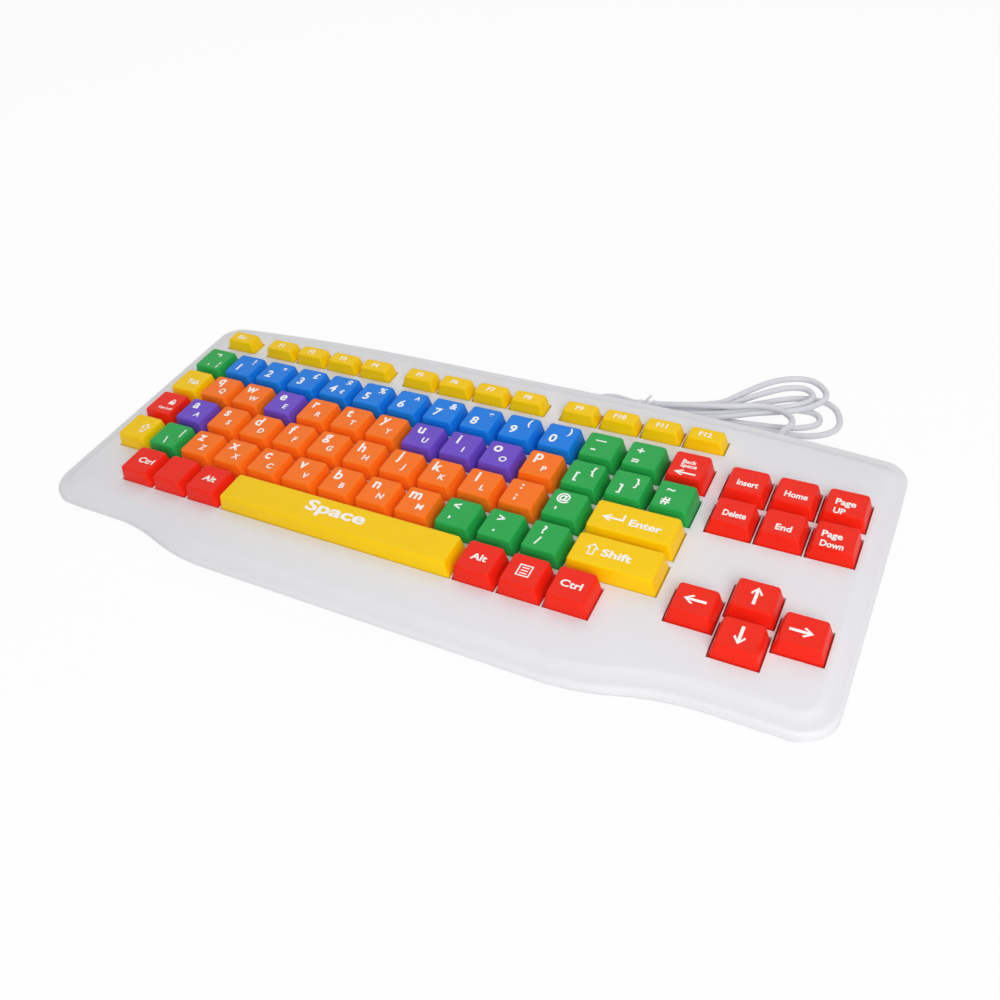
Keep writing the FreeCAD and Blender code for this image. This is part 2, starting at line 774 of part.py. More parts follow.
def make_board_screws():
    screws = []
    for number, x in enumerate(BOARD_SCREWS):
        shank = deck_rod("board_shank_%d" % number, "board_screw_radius", x, CLAMP_Y,
                              "board_bottom - board_screw_bite", CLAMP_TOP)
        head = deck_rod("board_head_%d" % number, "board_screw_head", x, CLAMP_Y,
                             CLAMP_TOP, "%s + board_thickness" % CLAMP_TOP)
        screws.append(merge("board_screw_%d" % number, [shank, head]))
    return group("board_screws", screws)


def make_chip():
    left = "(board_left + board_width - 3 * chip_size)"
    front = "(board_front + board_depth - 1.5 * chip_size)"
    return deck_box("controller_chip", left, "%s + chip_size" % left, front, "%s + chip_size" % front,
                    "membrane_bottom", "membrane_bottom + chip_height")


def make_header():
    return deck_box("cable_header", "header_x - header_width / 2", "header_x + header_width / 2",
                    "header_back - header_depth", "header_back",
                    "membrane_bottom", "membrane_bottom + header_height")


# Lower housing: a tray that narrows to its floor, with ribs, bosses, board posts and leg recesses
def both_sides(x):
    return [x, "(-%s)" % x]


def leg_room(name, gap, bottom, x):
    """Box round a folded tilt leg, larger than it by gap."""
    half = "(leg_width / 2 + %s)" % gap
    return level_box(name, "%s - %s" % (x, half), "%s + %s" % (x, half),
                     "leg_axis_y - leg_length - %s" % gap, "leg_axis_y + leg_thickness / 2 + %s" % gap,
                     bottom, "foot_height + leg_thickness + %s" % gap)


def make_bottom_case():
    tray = new_body("tray")
    loft("AdditiveLoft", tray,
         profile(tray, "tray_foot", "XY_Plane", "foot_height", outline("undercut")),
         profile(tray, "tray_rim", "XY_Plane", "parting_height", outline("0")))
    loft("SubtractiveLoft", tray,
         profile(tray, "tray_floor", "XY_Plane", "floor_top", outline("(undercut + case_wall)")),
         profile(tray, "tray_mouth", "XY_Plane", "parting_height", outline("case_wall")))
    rib = new_body("rib")
    rib_front = "(grid_front * cos(deck_tilt))"
    rib_back = "(nav_back * cos(deck_tilt))"
    rib_side = profile(rib, "rib_side", "YZ_Plane", "0", polygon(
        (rib_front, "foot_height + floor_wall / 2"), (rib_back, "foot_height + floor_wall / 2"),
        (rib_back, deck_line(rib_back, "-membrane_bottom")),
        (rib_front, deck_line(rib_front, "-membrane_bottom"))))
    extrude("Pad", rib, rib_side, "rib_thickness", symmetric=True)
    solids = [tray]
    for number in range(RIB_COUNT):
        step = number - (RIB_COUNT - 1) / 2
        solids.append(place(copy_of("rib_%d" % number, rib), "%g * rib_spacing" % step, "0", "0"))
    tools = []
    for number, (x, y) in enumerate(BOSSES):
        solids.append(level_rod("bottom_boss_%d" % number, "boss_radius", x, y,
                                "foot_height + floor_wall / 2", "parting_height"))
        tools.append(level_rod("head_recess_%d" % number, "screw_head_radius + screw_clearance", x, y,
                              "0", "foot_height + head_recess"))
        tools.append(level_rod("screw_hole_%d" % number, "screw_radius + screw_clearance", x, y,
                              "0", "2 * parting_height"))
    for number, x in enumerate(BOARD_SCREWS):
        drop = "((%s - floor_top + floor_wall / 2) / cos(deck_tilt))" % deck_level(CLAMP_Y, "board_bottom")
        solids.append(deck_rod("board_post_%d" % number, "board_post_radius", x, CLAMP_Y,
                                    "board_bottom - %s" % drop, "board_bottom"))
        tools.append(deck_rod("board_pilot_%d" % number, "board_screw_radius + screw_clearance / 2",
                                   x, CLAMP_Y, "board_bottom - board_screw_bite - screw_clearance",
                                   "board_bottom + board_thickness"))
    for number, x in enumerate(both_sides("leg_x")):
        solids.append(leg_room("recess_%d" % number, "(leg_clearance + recess_wall)", "foot_height", x))
        tools.append(leg_room("pocket_%d" % number, "leg_clearance", "0", x))
        tools.append(pin("pin_bore_%d" % number, "pin_radius + pin_clearance",
                         "leg_clearance + recess_wall + pin_clearance", x))
    return cut("bottom_case", merge("bottom_parts", solids), group("bottom_tools", tools))


def deck_level(y, z):
    """Height above the table of a point of the deck frame."""
    return "(deck_height + %s * sin(deck_tilt) + %s * cos(deck_tilt))" % (y, z)


def pin(name, radius, reach, x):
    """Bar along a tilt leg's hinge axis that passes the leg by reach on both sides."""
    bar = rod(name, radius, "leg_width + 2 * (%s)" % reach)
    bar.Placement = FreeCAD.Placement(Vector(), Rotation(Y_AXIS, 90))
    return place(bar, "%s - leg_width / 2 - (%s)" % (x, reach), "leg_axis_y", "leg_axis_z")


def make_leg(name, x):
    body = new_body(name + "_blade")
    half = "(leg_thickness / 2)"
    side = profile(body, name + "_side", "YZ_Plane", "0", [
        ("(-leg_length)", "0", "line"), ("(%s - leg_length)" % half, "(-%s)" % half, "line"),
        ("0", "(-%s)" % half, "arc on"), (half, "0", "arc off"),
        ("0", half, "line"), ("(-leg_length)", half, "line")])
    extrude("Pad", body, side, "leg_width", symmetric=True)
    place(body, x, "leg_axis_y", "leg_axis_z")
    return merge(name, [body, pin(name + "_pin", "pin_radius", "pin_length", x)])


def make_case_screws():
    screws = []
    head_top = "(foot_height + head_recess)"
    for number, (x, y) in enumerate(BOSSES):
        shank = level_rod("case_shank_%d" % number, "screw_radius", x, y,
                          head_top, "parting_height + screw_bite")
        head = level_rod("case_head_%d" % number, "screw_head_radius", x, y,
                        "%s - screw_head_height" % head_top, head_top)
        screws.append(merge("case_screw_%d" % number, [shank, head]))
    return group("case_screws", screws)


def make_feet():
    pad = new_body("foot_pad")
    half_length = "(foot_length / 2)"
    half_width = "(foot_width / 2)"
    corners = octagon("(-%s)" % half_length, half_length, "(-%s)" % half_width, half_width, "foot_round")
    extrude("Pad", pad, profile(pad, "foot_plan", "XY_Plane", "0", corners), "foot_height")
    places = [(x, y) for x in both_sides("foot_x")
              for y in ("(front_y + foot_inset)", "(back_y - foot_inset)")]
    return group("rubber_feet", [place(copy_of("foot_%d" % number, pad), x, y, "0")
                                 for number, (x, y) in enumerate(places)])


nodes["rubber_dome_sheet"] = make_dome_sheet()
nodes["membrane_circuit"] = make_membrane()
nodes["controller_board"] = make_board()
nodes["membrane_clamp"] = make_clamp()
nodes["board_screws"] = make_board_screws()
nodes["controller_chip"] = make_chip()
nodes["cable_header"] = make_header()
nodes["bottom_case"] = make_bottom_case()
nodes["tilt_leg_left"] = make_leg("tilt_leg_left", "(-leg_x)")
nodes["tilt_leg_right"] = make_leg("tilt_leg_right", "leg_x")
nodes["case_screws"] = make_case_screws()
nodes["rubber_feet"] = make_feet()


# Cable: strain relief in the rear wall, then a lead, a tied hank, a tail and a plug, all behind the housing
def make_relief():
    """Gland whose groove takes the rear wall; its boot steps down to the cable."""
    flange = "(relief_radius + relief_flange)"
    wall_in = "(-case_wall - relief_seat)"
    boot_start = "(relief_seat + relief_lip)"
    pieces = [
        rear_rod("relief_inner_flange", flange, "%s - relief_lip" % wall_in, wall_in),
        rear_rod("relief_neck", "relief_radius", wall_in, "relief_seat"),
        rear_rod("relief_outer_flange", flange, "relief_seat", boot_start),
    ]
    tip = "(cable_diameter / 2 + relief_rim)"
    for step in range(BOOT_STEPS):
        share = (step + 0.5) / BOOT_STEPS
        pieces.append(rear_rod("relief_boot_%d" % step,
                               "relief_radius + %g * (%s - relief_radius)" % (share, tip),
                               "%s + %d * relief_length / %d" % (boot_start, step, BOOT_STEPS),
                               "%s + %d * relief_length / %d" % (boot_start, step + 1, BOOT_STEPS)))
    return merge("cable_strain_relief", pieces)


def make_inner_cable():
    """Straight stretch from the header on the board to the strain relief."""
    end = "(-case_wall - relief_seat - relief_lip)"
    stretch = rear_rod("inner_rod", "cable_diameter / 2", "%s - 3 * header_depth" % end, end)
    behind = deck_box("header_side", "header_x - header_width", "header_x + header_width",
                      "header_back - 4 * header_depth", "header_back",
                      "membrane_bottom - header_height", "membrane_bottom + 2 * header_height")
    return cut("inner_cable", stretch, behind)


def cable_section(start, heading):
    """Closed polygon across the cable at its start."""
    across = heading.cross(Z_AXIS).normalize()
    upright = across.cross(heading)
    radius = value("cable_diameter") / 2
    corners = []
    for number in range(CABLE_SIDES + 1):
        angle = 2 * math.pi * number / CABLE_SIDES
        corners.append(start + across * (radius * math.cos(angle)) + upright * (radius * math.sin(angle)))
    return Part.makePolygon(corners)


def cable_solid(name, edges):
    """Solid of the cable along edges that join smoothly; placed with the strain relief's exit."""
    wire = Part.Wire(edges)
    start = edges[0].valueAt(edges[0].FirstParameter)
    heading = edges[0].tangentAt(edges[0].FirstParameter)
    section = cable_section(start, heading)
    solid = wire.makePipeShell([section], True, False)
    swept = solid.Volume / (Part.Face(section).Area * wire.Length)
    print("%s: length %.1f mm, volume over section times length %.3f" % (name, wire.Length, swept))
    feature = doc.addObject("Part::Feature", name)
    feature.Shape = solid
    return place(feature, "header_x", "exit_wall", "0")


def rounded_route(points):
    """Straight runs joined by arcs as wide as the shorter run at each corner allows."""
    edges = []
    start = points[0]
    radii = []
    for before, corner, after in zip(points, points[1:], points[2:]):
        run_in = (corner - before).normalize()
        run_out = (after - corner).normalize()
        shorter = min((corner - before).Length, (after - corner).Length)
        half_turn = run_in.getAngle(run_out) / 2
        setback = ARC_SHARE * shorter
        radii.append(setback / math.tan(half_turn))
        arc_start = corner - run_in * setback
        arc_end = corner + run_out * setback
        inward = (run_out - run_in).normalize()
        depth = radii[-1] / math.cos(half_turn) - radii[-1]
        edges.append(Part.LineSegment(start, arc_start).toShape())
        edges.append(Part.Arc(arc_start, corner + inward * depth, arc_end).toShape())
        start = arc_end
    edges.append(Part.LineSegment(start, points[-1]).toShape())
    return edges, radii


ARC_SHARE = 0.45


def make_free_cable(name, points):
    edges, radii = rounded_route(points)
    print("%s: bend radii %s mm" % (name, ", ".join("%.1f" % radius for radius in radii)))
    return cable_solid(name, edges)


# The hank: flat coils side by side in two layers, one strand on top; u runs along the bundle, v across it
HANK_MIDDLE = Vector(-52, 37, 0)
HANK_TURN = 17
HANK_LEFT = -43
HANK_RIGHT = 7
STRAND_STEP = 4.6
LOW = 3.2
MID = LOW + STRAND_STEP
HIGH = MID + STRAND_STEP
NEAR = STRAND_STEP / 2
FAR = 3 * NEAR


def hank_point(u, v, z):
    turned = Rotation(Z_AXIS, HANK_TURN).multVec(Vector(u, v, 0))
    return HANK_MIDDLE + turned + Vector(0, 0, z)


def heading_at(angle, climb=0):
    """Unit heading at an angle from the bundle's axis."""
    flat = Rotation(Z_AXIS, HANK_TURN + angle).multVec(X_AXIS)
    return (flat + Vector(0, 0, climb)).normalize()


def lobe(base_u, base_v, direction, length, half_width, levels, shoulder):
    """Stations of a loop that leaves the bundle along direction and comes back anticlockwise."""
    along = (math.cos(math.radians(direction)), math.sin(math.radians(direction)))
    across = (-along[1], along[0])

    def station(reach, offset, level, turn):
        u = base_u + along[0] * reach + across[0] * offset
        v = base_v + along[1] * reach + across[1] * offset
        return hank_point(u, v, level), heading_at(direction + turn)

    return [
        station(shoulder * length, -half_width, levels[0], 0),
        station(length, 0, levels[1], 90),
        station(shoulder * length, half_width, levels[2], 180),
    ]


def waist(v, level, rightward):
    ends = [HANK_LEFT, HANK_RIGHT] if rightward else [HANK_RIGHT, HANK_LEFT]
    angle = 0 if rightward else 180
    return [(hank_point(u, v, level), heading_at(angle)) for u in ends]


HANK_STATIONS = (
    waist(0, HIGH, False)
    + lobe(HANK_LEFT, -2.3, 185.3, 28, 11, (HIGH, HIGH - 1, MID), 0.49)
    + waist(-FAR, MID, True)
    + lobe(HANK_RIGHT, 2, 23.6, 70.2, 17.2, (MID, MID, MID), 0.58)
    + waist(FAR, MID, False)
    + lobe(HANK_LEFT, 1.2, 184.5, 22.6, 9, (MID, MID, MID), 0.72)
    + waist(-NEAR, MID, True)
    + lobe(HANK_RIGHT, 2, 20.9, 61.3, 9.9, (MID, MID, MID), 0.67)
    + waist(NEAR, MID, False)
    + lobe(HANK_LEFT, 0.3, 186.7, 17.5, 4.6, (MID, MID, LOW), 0.7)
    + waist(-NEAR, LOW, True)
    + lobe(HANK_RIGHT, 0.1, 1.9, 61.1, 9.9, (LOW, LOW, LOW), 0.62)
    + waist(NEAR, LOW, False)
    + lobe(HANK_LEFT, -4.4, 183.3, 22.4, 8, (LOW, LOW, LOW), 0.58)
    + waist(-FAR, LOW, True)
    + lobe(HANK_RIGHT, 2, 2.3, 72.7, 20.3, (LOW, LOW, LOW), 0.62)
    + waist(FAR, LOW, False)
)


def biarc(start, leave, end, arrive):
    """Control corners and joint of two arcs that leave start and reach end along the given headings."""
    span = end - start
    closeness = 2 - 2 * leave.dot(arrive)
    pull = span.dot(leave + arrive)
    if abs(closeness) < 1e-6:
        reach = span.dot(span) / (4 * span.dot(leave))
    else:
        reach = (math.sqrt(pull * pull + closeness * span.dot(span)) - pull) / closeness
    first = start + leave * reach
    second = end - arrive * reach
    return first, (first + second) * 0.5, second


def arc_or_line(start, corner, end):
    """Arc from start to end that touches both lines through the corner, and its radius."""
    leave = (corner - start).normalize()
    turn = leave.getAngle(end - corner)
    if turn < 1e-4:
        return Part.LineSegment(start, end).toShape(), math.inf
    radius = (corner - start).Length / math.tan(turn / 2)
    inward = ((start - corner).normalize() + (end - corner).normalize()).normalize()
    depth = radius / math.cos(turn / 2) - radius
    return Part.Arc(start, corner + inward * depth, end).toShape(), radius


def hank_edges():
    edges = []
    radii = []
    for (start, leave), (end, arrive) in zip(HANK_STATIONS, HANK_STATIONS[1:]):
        if (end - start).normalize().getAngle(leave) < 1e-4:
            edges.append(Part.LineSegment(start, end).toShape())
            continue
        first, joint, second = biarc(start, leave, end, arrive)
        for piece in (arc_or_line(start, first, joint), arc_or_line(joint, second, end)):
            edges.append(piece[0])
            radii.append(piece[1])
    return edges, radii


def least_self_gap(edges):
    """Smallest space between stretches of the cable that are not neighbours along it."""
    points = []
    travelled = 0
    for edge in edges:
        count = max(3, round(edge.Length / POINT_STEP))
        for number in range(count):
            share = number / count
            point = edge.valueAt(edge.FirstParameter + share * (edge.LastParameter - edge.FirstParameter))
            points.append((travelled + share * edge.Length, point.x, point.y, point.z))
        travelled += edge.Length
    least = math.inf
    for number, (place_here, x, y, z) in enumerate(points):
        for place_there, other_x, other_y, other_z in points[number + 1:]:
            if place_there - place_here > NEIGHBOUR_LENGTH:
                apart = (x - other_x) ** 2 + (y - other_y) ** 2 + (z - other_z) ** 2
                least = min(least, apart)
    return math.sqrt(least) - value("cable_diameter")


POINT_STEP = 1.6
NEIGHBOUR_LENGTH = 15


def make_hank():
    edges, radii = hank_edges()
    print("cable_hank: tightest bend %.1f mm" % min(radii))
    print("cable_hank: least gap between strands %.2f mm" % least_self_gap(edges))
    return cable_solid("cable_hank", edges)


# Routes of the loose stretches, from the middle of the cable's exit in the rear wall
def lead_points():
    boot_end = value("relief_seat + relief_lip + relief_length")
    exit_height = value("exit_height")
    return [
        Vector(0, boot_end, exit_height), Vector(0, boot_end + 6.5, exit_height),
        Vector(4, boot_end + 15.5, exit_height - 1.4), Vector(1, boot_end + 27, exit_height - 3.6),
        Vector(-9, boot_end + 36, exit_height - 5.6), Vector(-23, boot_end + 37, exit_height - 6.6),
        hank_point(HANK_RIGHT + 12, 0, HIGH), hank_point(HANK_RIGHT, 0, HIGH),
    ]


PLUG_FACE = Vector(-209, 15, 4)
PLUG_X = "(header_x + %g)" % PLUG_FACE.x
PLUG_Y = "(exit_wall + %g)" % PLUG_FACE.y


def tail_points():
    return [
        hank_point(HANK_LEFT, FAR, LOW), hank_point(HANK_LEFT - 10, FAR, LOW),
        Vector(-125, 27.5, 2.6), Vector(-145, 25.4, 2.4), Vector(-165, 21, 2.6), Vector(-183, 16, 3.4),
        PLUG_FACE + Vector(12, 0, 0), PLUG_FACE,
    ]


# Twist tie round the bundle with its two ends sticking up
TIE_U = -41
TIE_TWIST = Vector(0, -3.9, 12.4)


def tie_outline(grow):
    """Half of the band's section from the bottom up, then its mirror image."""
    reach = value("cable_diameter") / 2 + grow
    slope = math.atan2(MID - HIGH, FAR) + math.pi / 2
    lean = (reach * math.cos(slope), reach * math.sin(slope))
    peak = lean[0] - (reach - lean[1]) * FAR / (HIGH - MID)
    right = [(FAR + reach - 1, LOW - reach), (FAR + reach, LOW - reach + 1), (FAR + reach, MID),
             (FAR + lean[0], MID + lean[1]), (peak, HIGH + reach)]
    left = [(-across, up) for across, up in reversed(right)]
    return polygon(*[("%.3f" % across, "%.3f" % up) for across, up in right + left])


def make_tie():
    body = new_body("tie_band")
    extrude("Pad", body, profile(body, "tie_outside", "YZ_Plane", "0",
                                 tie_outline(value("tie_gap + tie_thickness"))), "tie_width", symmetric=True)
    extrude("Pocket", body, profile(body, "tie_inside", "YZ_Plane", "0", tie_outline(value("tie_gap"))),
            "2 * tie_width", symmetric=True)
    pieces = [body]
    for number, lean in enumerate((Vector(8, 1, 9), Vector(8, 2, 3))):
        end = rod("tie_end_%d" % number, "tie_wire_radius", "tie_end_length")
        end.Placement = FreeCAD.Placement(TIE_TWIST, Rotation(Z_AXIS, lean))
        pieces.append(end)
    tie = copy_of("cable_tie", merge("tie_parts", pieces))
    middle_of_band = hank_point(TIE_U, 0, 0)
    tie.Placement = FreeCAD.Placement(Vector(), Rotation(Z_AXIS, HANK_TURN))
    return place(tie, "header_x + %.3f" % middle_of_band.x, "exit_wall + %.3f" % middle_of_band.y, "0")


def plug_bar(name, width, height, start, length, bevel, hollow):
    """Bar along the plug's axis, which points to the left."""
    body = new_body(name)
    half_width = "(%s / 2)" % width
    half_height = "(%s / 2)" % height
    limits = ("(-%s)" % half_width, half_width, "(-%s)" % half_height, half_height)
    section = profile(body, name + "_section", "YZ_Plane", "(-%s)" % start, octagon(*limits, bevel))
    extrude("Pad", body, section, length, reverse=True)
    if hollow:
        inner = ["%s + shell_wall" % limits[0], "%s - shell_wall" % limits[1],
                 "%s + shell_wall" % limits[2], "%s - shell_wall" % limits[3]]
        mouth = profile(body, name + "_mouth", "YZ_Plane", "(-%s - %s)" % (start, length), rectangle(*inner))
        extrude("Pocket", body, mouth, length, reverse=True)
    return place(body, PLUG_X, PLUG_Y, "plug_height / 2")


def make_plug_body():
    """Grip with the tongue that carries the contacts inside the shell."""
    grip = plug_bar("plug_grip", "plug_width", "plug_height", "0", "plug_length", "plug_bevel", False)
    face = "(%s - plug_length)" % PLUG_X
    half = "(shell_width / 2 - 2 * shell_wall)"
    roof = "(plug_height / 2 + shell_height / 2 - 2 * shell_wall)"
    tongue = level_box("plug_tongue", "%s - shell_length + shell_height / 2" % face, "%s + plug_bevel" % face,
                       "%s - %s" % (PLUG_Y, half), "%s + %s" % (PLUG_Y, half),
                       "%s - shell_height / 3" % roof, roof)
    return merge("usb_plug_body", [grip, tongue])


nodes["cable_strain_relief"] = make_relief()
nodes["inner_cable"] = make_inner_cable()
nodes["cable_lead"] = make_free_cable("cable_lead", lead_points())
nodes["cable_hank"] = make_hank()
nodes["cable_tail"] = make_free_cable("cable_tail", tail_points())
nodes["cable_tie"] = make_tie()
nodes["usb_plug_body"] = make_plug_body()
nodes["usb_plug_shell"] = plug_bar("usb_plug_shell", "shell_width", "shell_height", "plug_length",
                                   "shell_length", "shell_wall", True)


# Check every object, then write one file per sub-part
doc.recompute()
faults = [item.Name for item in doc.Objects if "Invalid" in item.State or "Error" in item.State]
for name, feature in nodes.items():
    feature.Label = name
    if feature.Shape.isNull() or not feature.Shape.isValid():
        faults.append(name)
if faults:
    raise RuntimeError("faulty objects: " + ", ".join(faults))
os.makedirs("parts", exist_ok=True)
for name, feature in nodes.items():
    feature.Shape.exportStep("parts/%s.step" % name)
print("%d sub-parts written" % len(nodes))
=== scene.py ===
import math

import bmesh
import bpy
from mathutils import Matrix, Vector
from mathutils.geometry import delaunay_2d_cdt


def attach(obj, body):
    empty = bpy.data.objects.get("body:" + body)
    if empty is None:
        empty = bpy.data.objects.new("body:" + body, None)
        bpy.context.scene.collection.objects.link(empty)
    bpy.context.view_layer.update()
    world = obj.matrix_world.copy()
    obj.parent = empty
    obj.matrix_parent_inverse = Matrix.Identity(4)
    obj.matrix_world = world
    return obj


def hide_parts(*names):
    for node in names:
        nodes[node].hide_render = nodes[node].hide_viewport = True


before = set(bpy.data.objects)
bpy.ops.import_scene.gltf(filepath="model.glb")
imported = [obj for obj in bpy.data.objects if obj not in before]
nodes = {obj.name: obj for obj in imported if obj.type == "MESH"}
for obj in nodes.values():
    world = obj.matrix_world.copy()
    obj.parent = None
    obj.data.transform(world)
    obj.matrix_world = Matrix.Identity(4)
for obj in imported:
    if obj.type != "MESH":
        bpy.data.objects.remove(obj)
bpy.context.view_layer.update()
scene = bpy.context.scene

# Sizes in millimetres in the part's frame; meshes are made in metres
MM = 0.001
KEY_PITCH = 25.4
ROW_PITCH = 25.0
KEY_GAP = 0.9
MAIN_LEFT = -215.75
NAV_LEFT = 145.95
GRID_FRONT = -69.884
FUNCTION_FRONT = 66.416
FUNCTION_BACK = 80.216
DECK_TILT = math.radians(4.5)
DECK_HEIGHT = 23.658
CASE_WIDTH = 467.9
CASE_DEPTH = 205.737
PARTING_HEIGHT = 10.6
BORDER_WIDTH = 11.0
BORDER_DROP = 1.2
DECK_RAISE = 1.2
EDGE_ROUND = 2.4
WELL_BOTTOM = -5.5
WELL_CLEARANCE = 0.1
EXIT_X = 159.95
EXIT_WALL = 100.382
EXIT_HEIGHT = 19.195
CABLE_DIAMETER = 3.8

DECK = Matrix.Translation((0, 0, DECK_HEIGHT)) @ Matrix.Rotation(DECK_TILT, 4, "X")


def deck_point(x, y, z):
    return DECK @ Vector((x, y, z)) * MM


# Camera, from the photograph's viewing angle
CAMERA_PLACE = (0.24354, -0.35388, 0.35466)
CAMERA_TURN = (50.637, 4.612, 26.962)
CAMERA_LENS = 34.255
SENSOR_WIDTH = 36.0
NEAREST_SEEN = 0.01
camera_data = bpy.data.cameras.new("camera")
camera_data.lens = CAMERA_LENS
camera_data.sensor_width = SENSOR_WIDTH
camera_data.clip_start = NEAREST_SEEN
camera = bpy.data.objects.new("camera", camera_data)
camera.location = CAMERA_PLACE
camera.rotation_euler = [math.radians(angle) for angle in CAMERA_TURN]
scene.collection.objects.link(camera)
scene.camera = camera


# Materials
TINT_SCALE = 60.0
ROUGHNESS_SCALE = 140.0
ROUGHNESS_SPREAD = 0.15
NOISE_LOW = 0.3
NOISE_HIGH = 0.7
BUMP_DEPTH = 0.0002


def linear(red, green, blue):
    """Linear colour from eight-bit display values."""
    shares = [part / 255 for part in (red, green, blue)]
    return [s / 12.92 if s <= 0.04045 else ((s + 0.055) / 1.055) ** 2.4 for s in shares] + [1.0]


def new_material(name):
    material = bpy.data.materials.new(name)
    material.use_nodes = True
    shader = material.node_tree.nodes["Principled BSDF"]
    return material, material.node_tree, shader


def add_node(tree, kind, **settings):
    node = tree.nodes.new(kind)
    for key, setting in settings.items():
        if key in node.inputs:
            node.inputs[key].default_value = setting
        else:
            setattr(node, key, setting)
    return node


def mottle(tree, shader, socket, scale, low, high):
    """Noise that moves a number on the shader between low and high."""
    place = add_node(tree, "ShaderNodeTexCoord")
    noise = add_node(tree, "ShaderNodeTexNoise", Scale=scale, Detail=3.0)
    spread = tree.nodes.new("ShaderNodeMapRange")
    spread.inputs["From Min"].default_value = NOISE_LOW
    spread.inputs["From Max"].default_value = NOISE_HIGH
    spread.inputs["To Min"].default_value = low
    spread.inputs["To Max"].default_value = high
    tree.links.new(place.outputs["Object"], noise.inputs["Vector"])
    tree.links.new(noise.outputs["Fac"], spread.inputs["Value"])
    tree.links.new(spread.outputs["Result"], shader.inputs[socket])


def add_bump(tree, shader, scale, strength, distance):
    place = add_node(tree, "ShaderNodeTexCoord")
    noise = add_node(tree, "ShaderNodeTexNoise", Scale=scale, Detail=2.0)
    bump = add_node(tree, "ShaderNodeBump", Strength=strength, Distance=distance)
    tree.links.new(place.outputs["Object"], noise.inputs["Vector"])
    tree.links.new(noise.outputs["Fac"], bump.inputs["Height"])
    tree.links.new(bump.outputs["Normal"], shader.inputs["Normal"])


def tint(tree, shader, colour, other, scale):
    """Slow drift of the base colour between two near colours."""
    place = add_node(tree, "ShaderNodeTexCoord")
    noise = add_node(tree, "ShaderNodeTexNoise", Scale=scale, Detail=2.0)
    mix = add_node(tree, "ShaderNodeMix", data_type="RGBA")
    mix.inputs[6].default_value = colour
    mix.inputs[7].default_value = other
    tree.links.new(place.outputs["Object"], noise.inputs["Vector"])
    tree.links.new(noise.outputs["Fac"], mix.inputs["Factor"])
    tree.links.new(mix.outputs[2], shader.inputs["Base Color"])


def plastic(name, colour, other, roughness, bump=0.04, bump_scale=900.0, specular=0.5):
    material, tree, shader = new_material(name)
    tint(tree, shader, linear(*colour), linear(*other), TINT_SCALE)
    mottle(tree, shader, "Roughness", ROUGHNESS_SCALE,
           roughness * (1 - ROUGHNESS_SPREAD), roughness * (1 + ROUGHNESS_SPREAD))
    add_bump(tree, shader, bump_scale, bump, BUMP_DEPTH)
    shader.inputs["Specular IOR Level"].default_value = specular
    return material


KEY_COLOURS = {
    "key_yellow": (249, 203, 2),
    "key_orange": (255, 117, 22),
    "key_red": (240, 36, 16),
    "key_green": (36, 164, 74),
    "key_blue": (18, 124, 226),
    "key_purple": (108, 74, 198),
}
KEY_ROUGHNESS = 0.36
KEY_SHEEN = 0.15
PALER_BY = 6
LOOKS = {}
for slot_name, colour in KEY_COLOURS.items():
    paler = tuple(min(255, part + PALER_BY) for part in colour)
    LOOKS[slot_name] = plastic(slot_name, colour, paler, KEY_ROUGHNESS, specular=KEY_SHEEN)
LOOKS["white_shell"] = plastic("white_shell", (231, 231, 234), (227, 227, 231), 0.36, 0.03,
                               specular=0.25)
LOOKS["white_plastic"] = plastic("white_plastic", (225, 225, 230), (218, 219, 225), 0.45, specular=0.3)
LOOKS["tie_white"] = plastic("tie_white", (238, 238, 240), (226, 228, 234), 0.4)
LOOKS["grey_rubber"] = plastic("grey_rubber", (96, 97, 100), (84, 85, 88), 0.8, 0.25, 2500.0, 0.3)
LOOKS["circuit_film"] = plastic("circuit_film", (196, 205, 208), (186, 196, 201), 0.25)
LOOKS["board_green"] = plastic("board_green", (26, 92, 52), (22, 80, 46), 0.4)
LOOKS["black_plastic"] = plastic("black_plastic", (22, 22, 24), (30, 30, 32), 0.5)
LOOKS["steel"] = plastic("steel", (176, 178, 182), (162, 164, 170), 0.3)
LOOKS["steel"].node_tree.nodes["Principled BSDF"].inputs["Metallic"].default_value = 1.0
LOOKS["legend"] = plastic("legend", (252, 252, 250), (246, 246, 244), 0.5, 0.02)

for node in nodes.values():
    wanted = next((m.name for m in node.data.materials if m), None)
    base_name = wanted.split(".")[0] if wanted else ""
    if base_name in LOOKS:
        for index in range(len(node.data.materials)):
            node.data.materials[index] = LOOKS[base_name]


# Mesh helpers
def make_object(name, mesh, material, body):
    piece = bpy.data.objects.new(name, mesh)
    mesh.materials.append(material)
    scene.collection.objects.link(piece)
    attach(piece, body)
    return piece


def finish_mesh(name, tool, sharp_angle=35.0):
    """Mesh from bmesh data, shaded smooth except at sharp edges."""
    bmesh.ops.recalc_face_normals(tool, faces=tool.faces)
    mesh = bpy.data.meshes.new(name)
    tool.to_mesh(mesh)
    tool.free()
    mesh.polygons.foreach_set("use_smooth", [True] * len(mesh.polygons))
    mesh.set_sharp_from_angle(angle=math.radians(sharp_angle))
    return mesh


def bridge(tool, rings):
    """Quads between rings of vertices that follow each other."""
    for lower, upper in zip(rings, rings[1:]):
        count = len(lower)
        for number in range(count):
            after = (number + 1) % count
            tool.faces.new((lower[number], lower[after], upper[after], upper[number]))


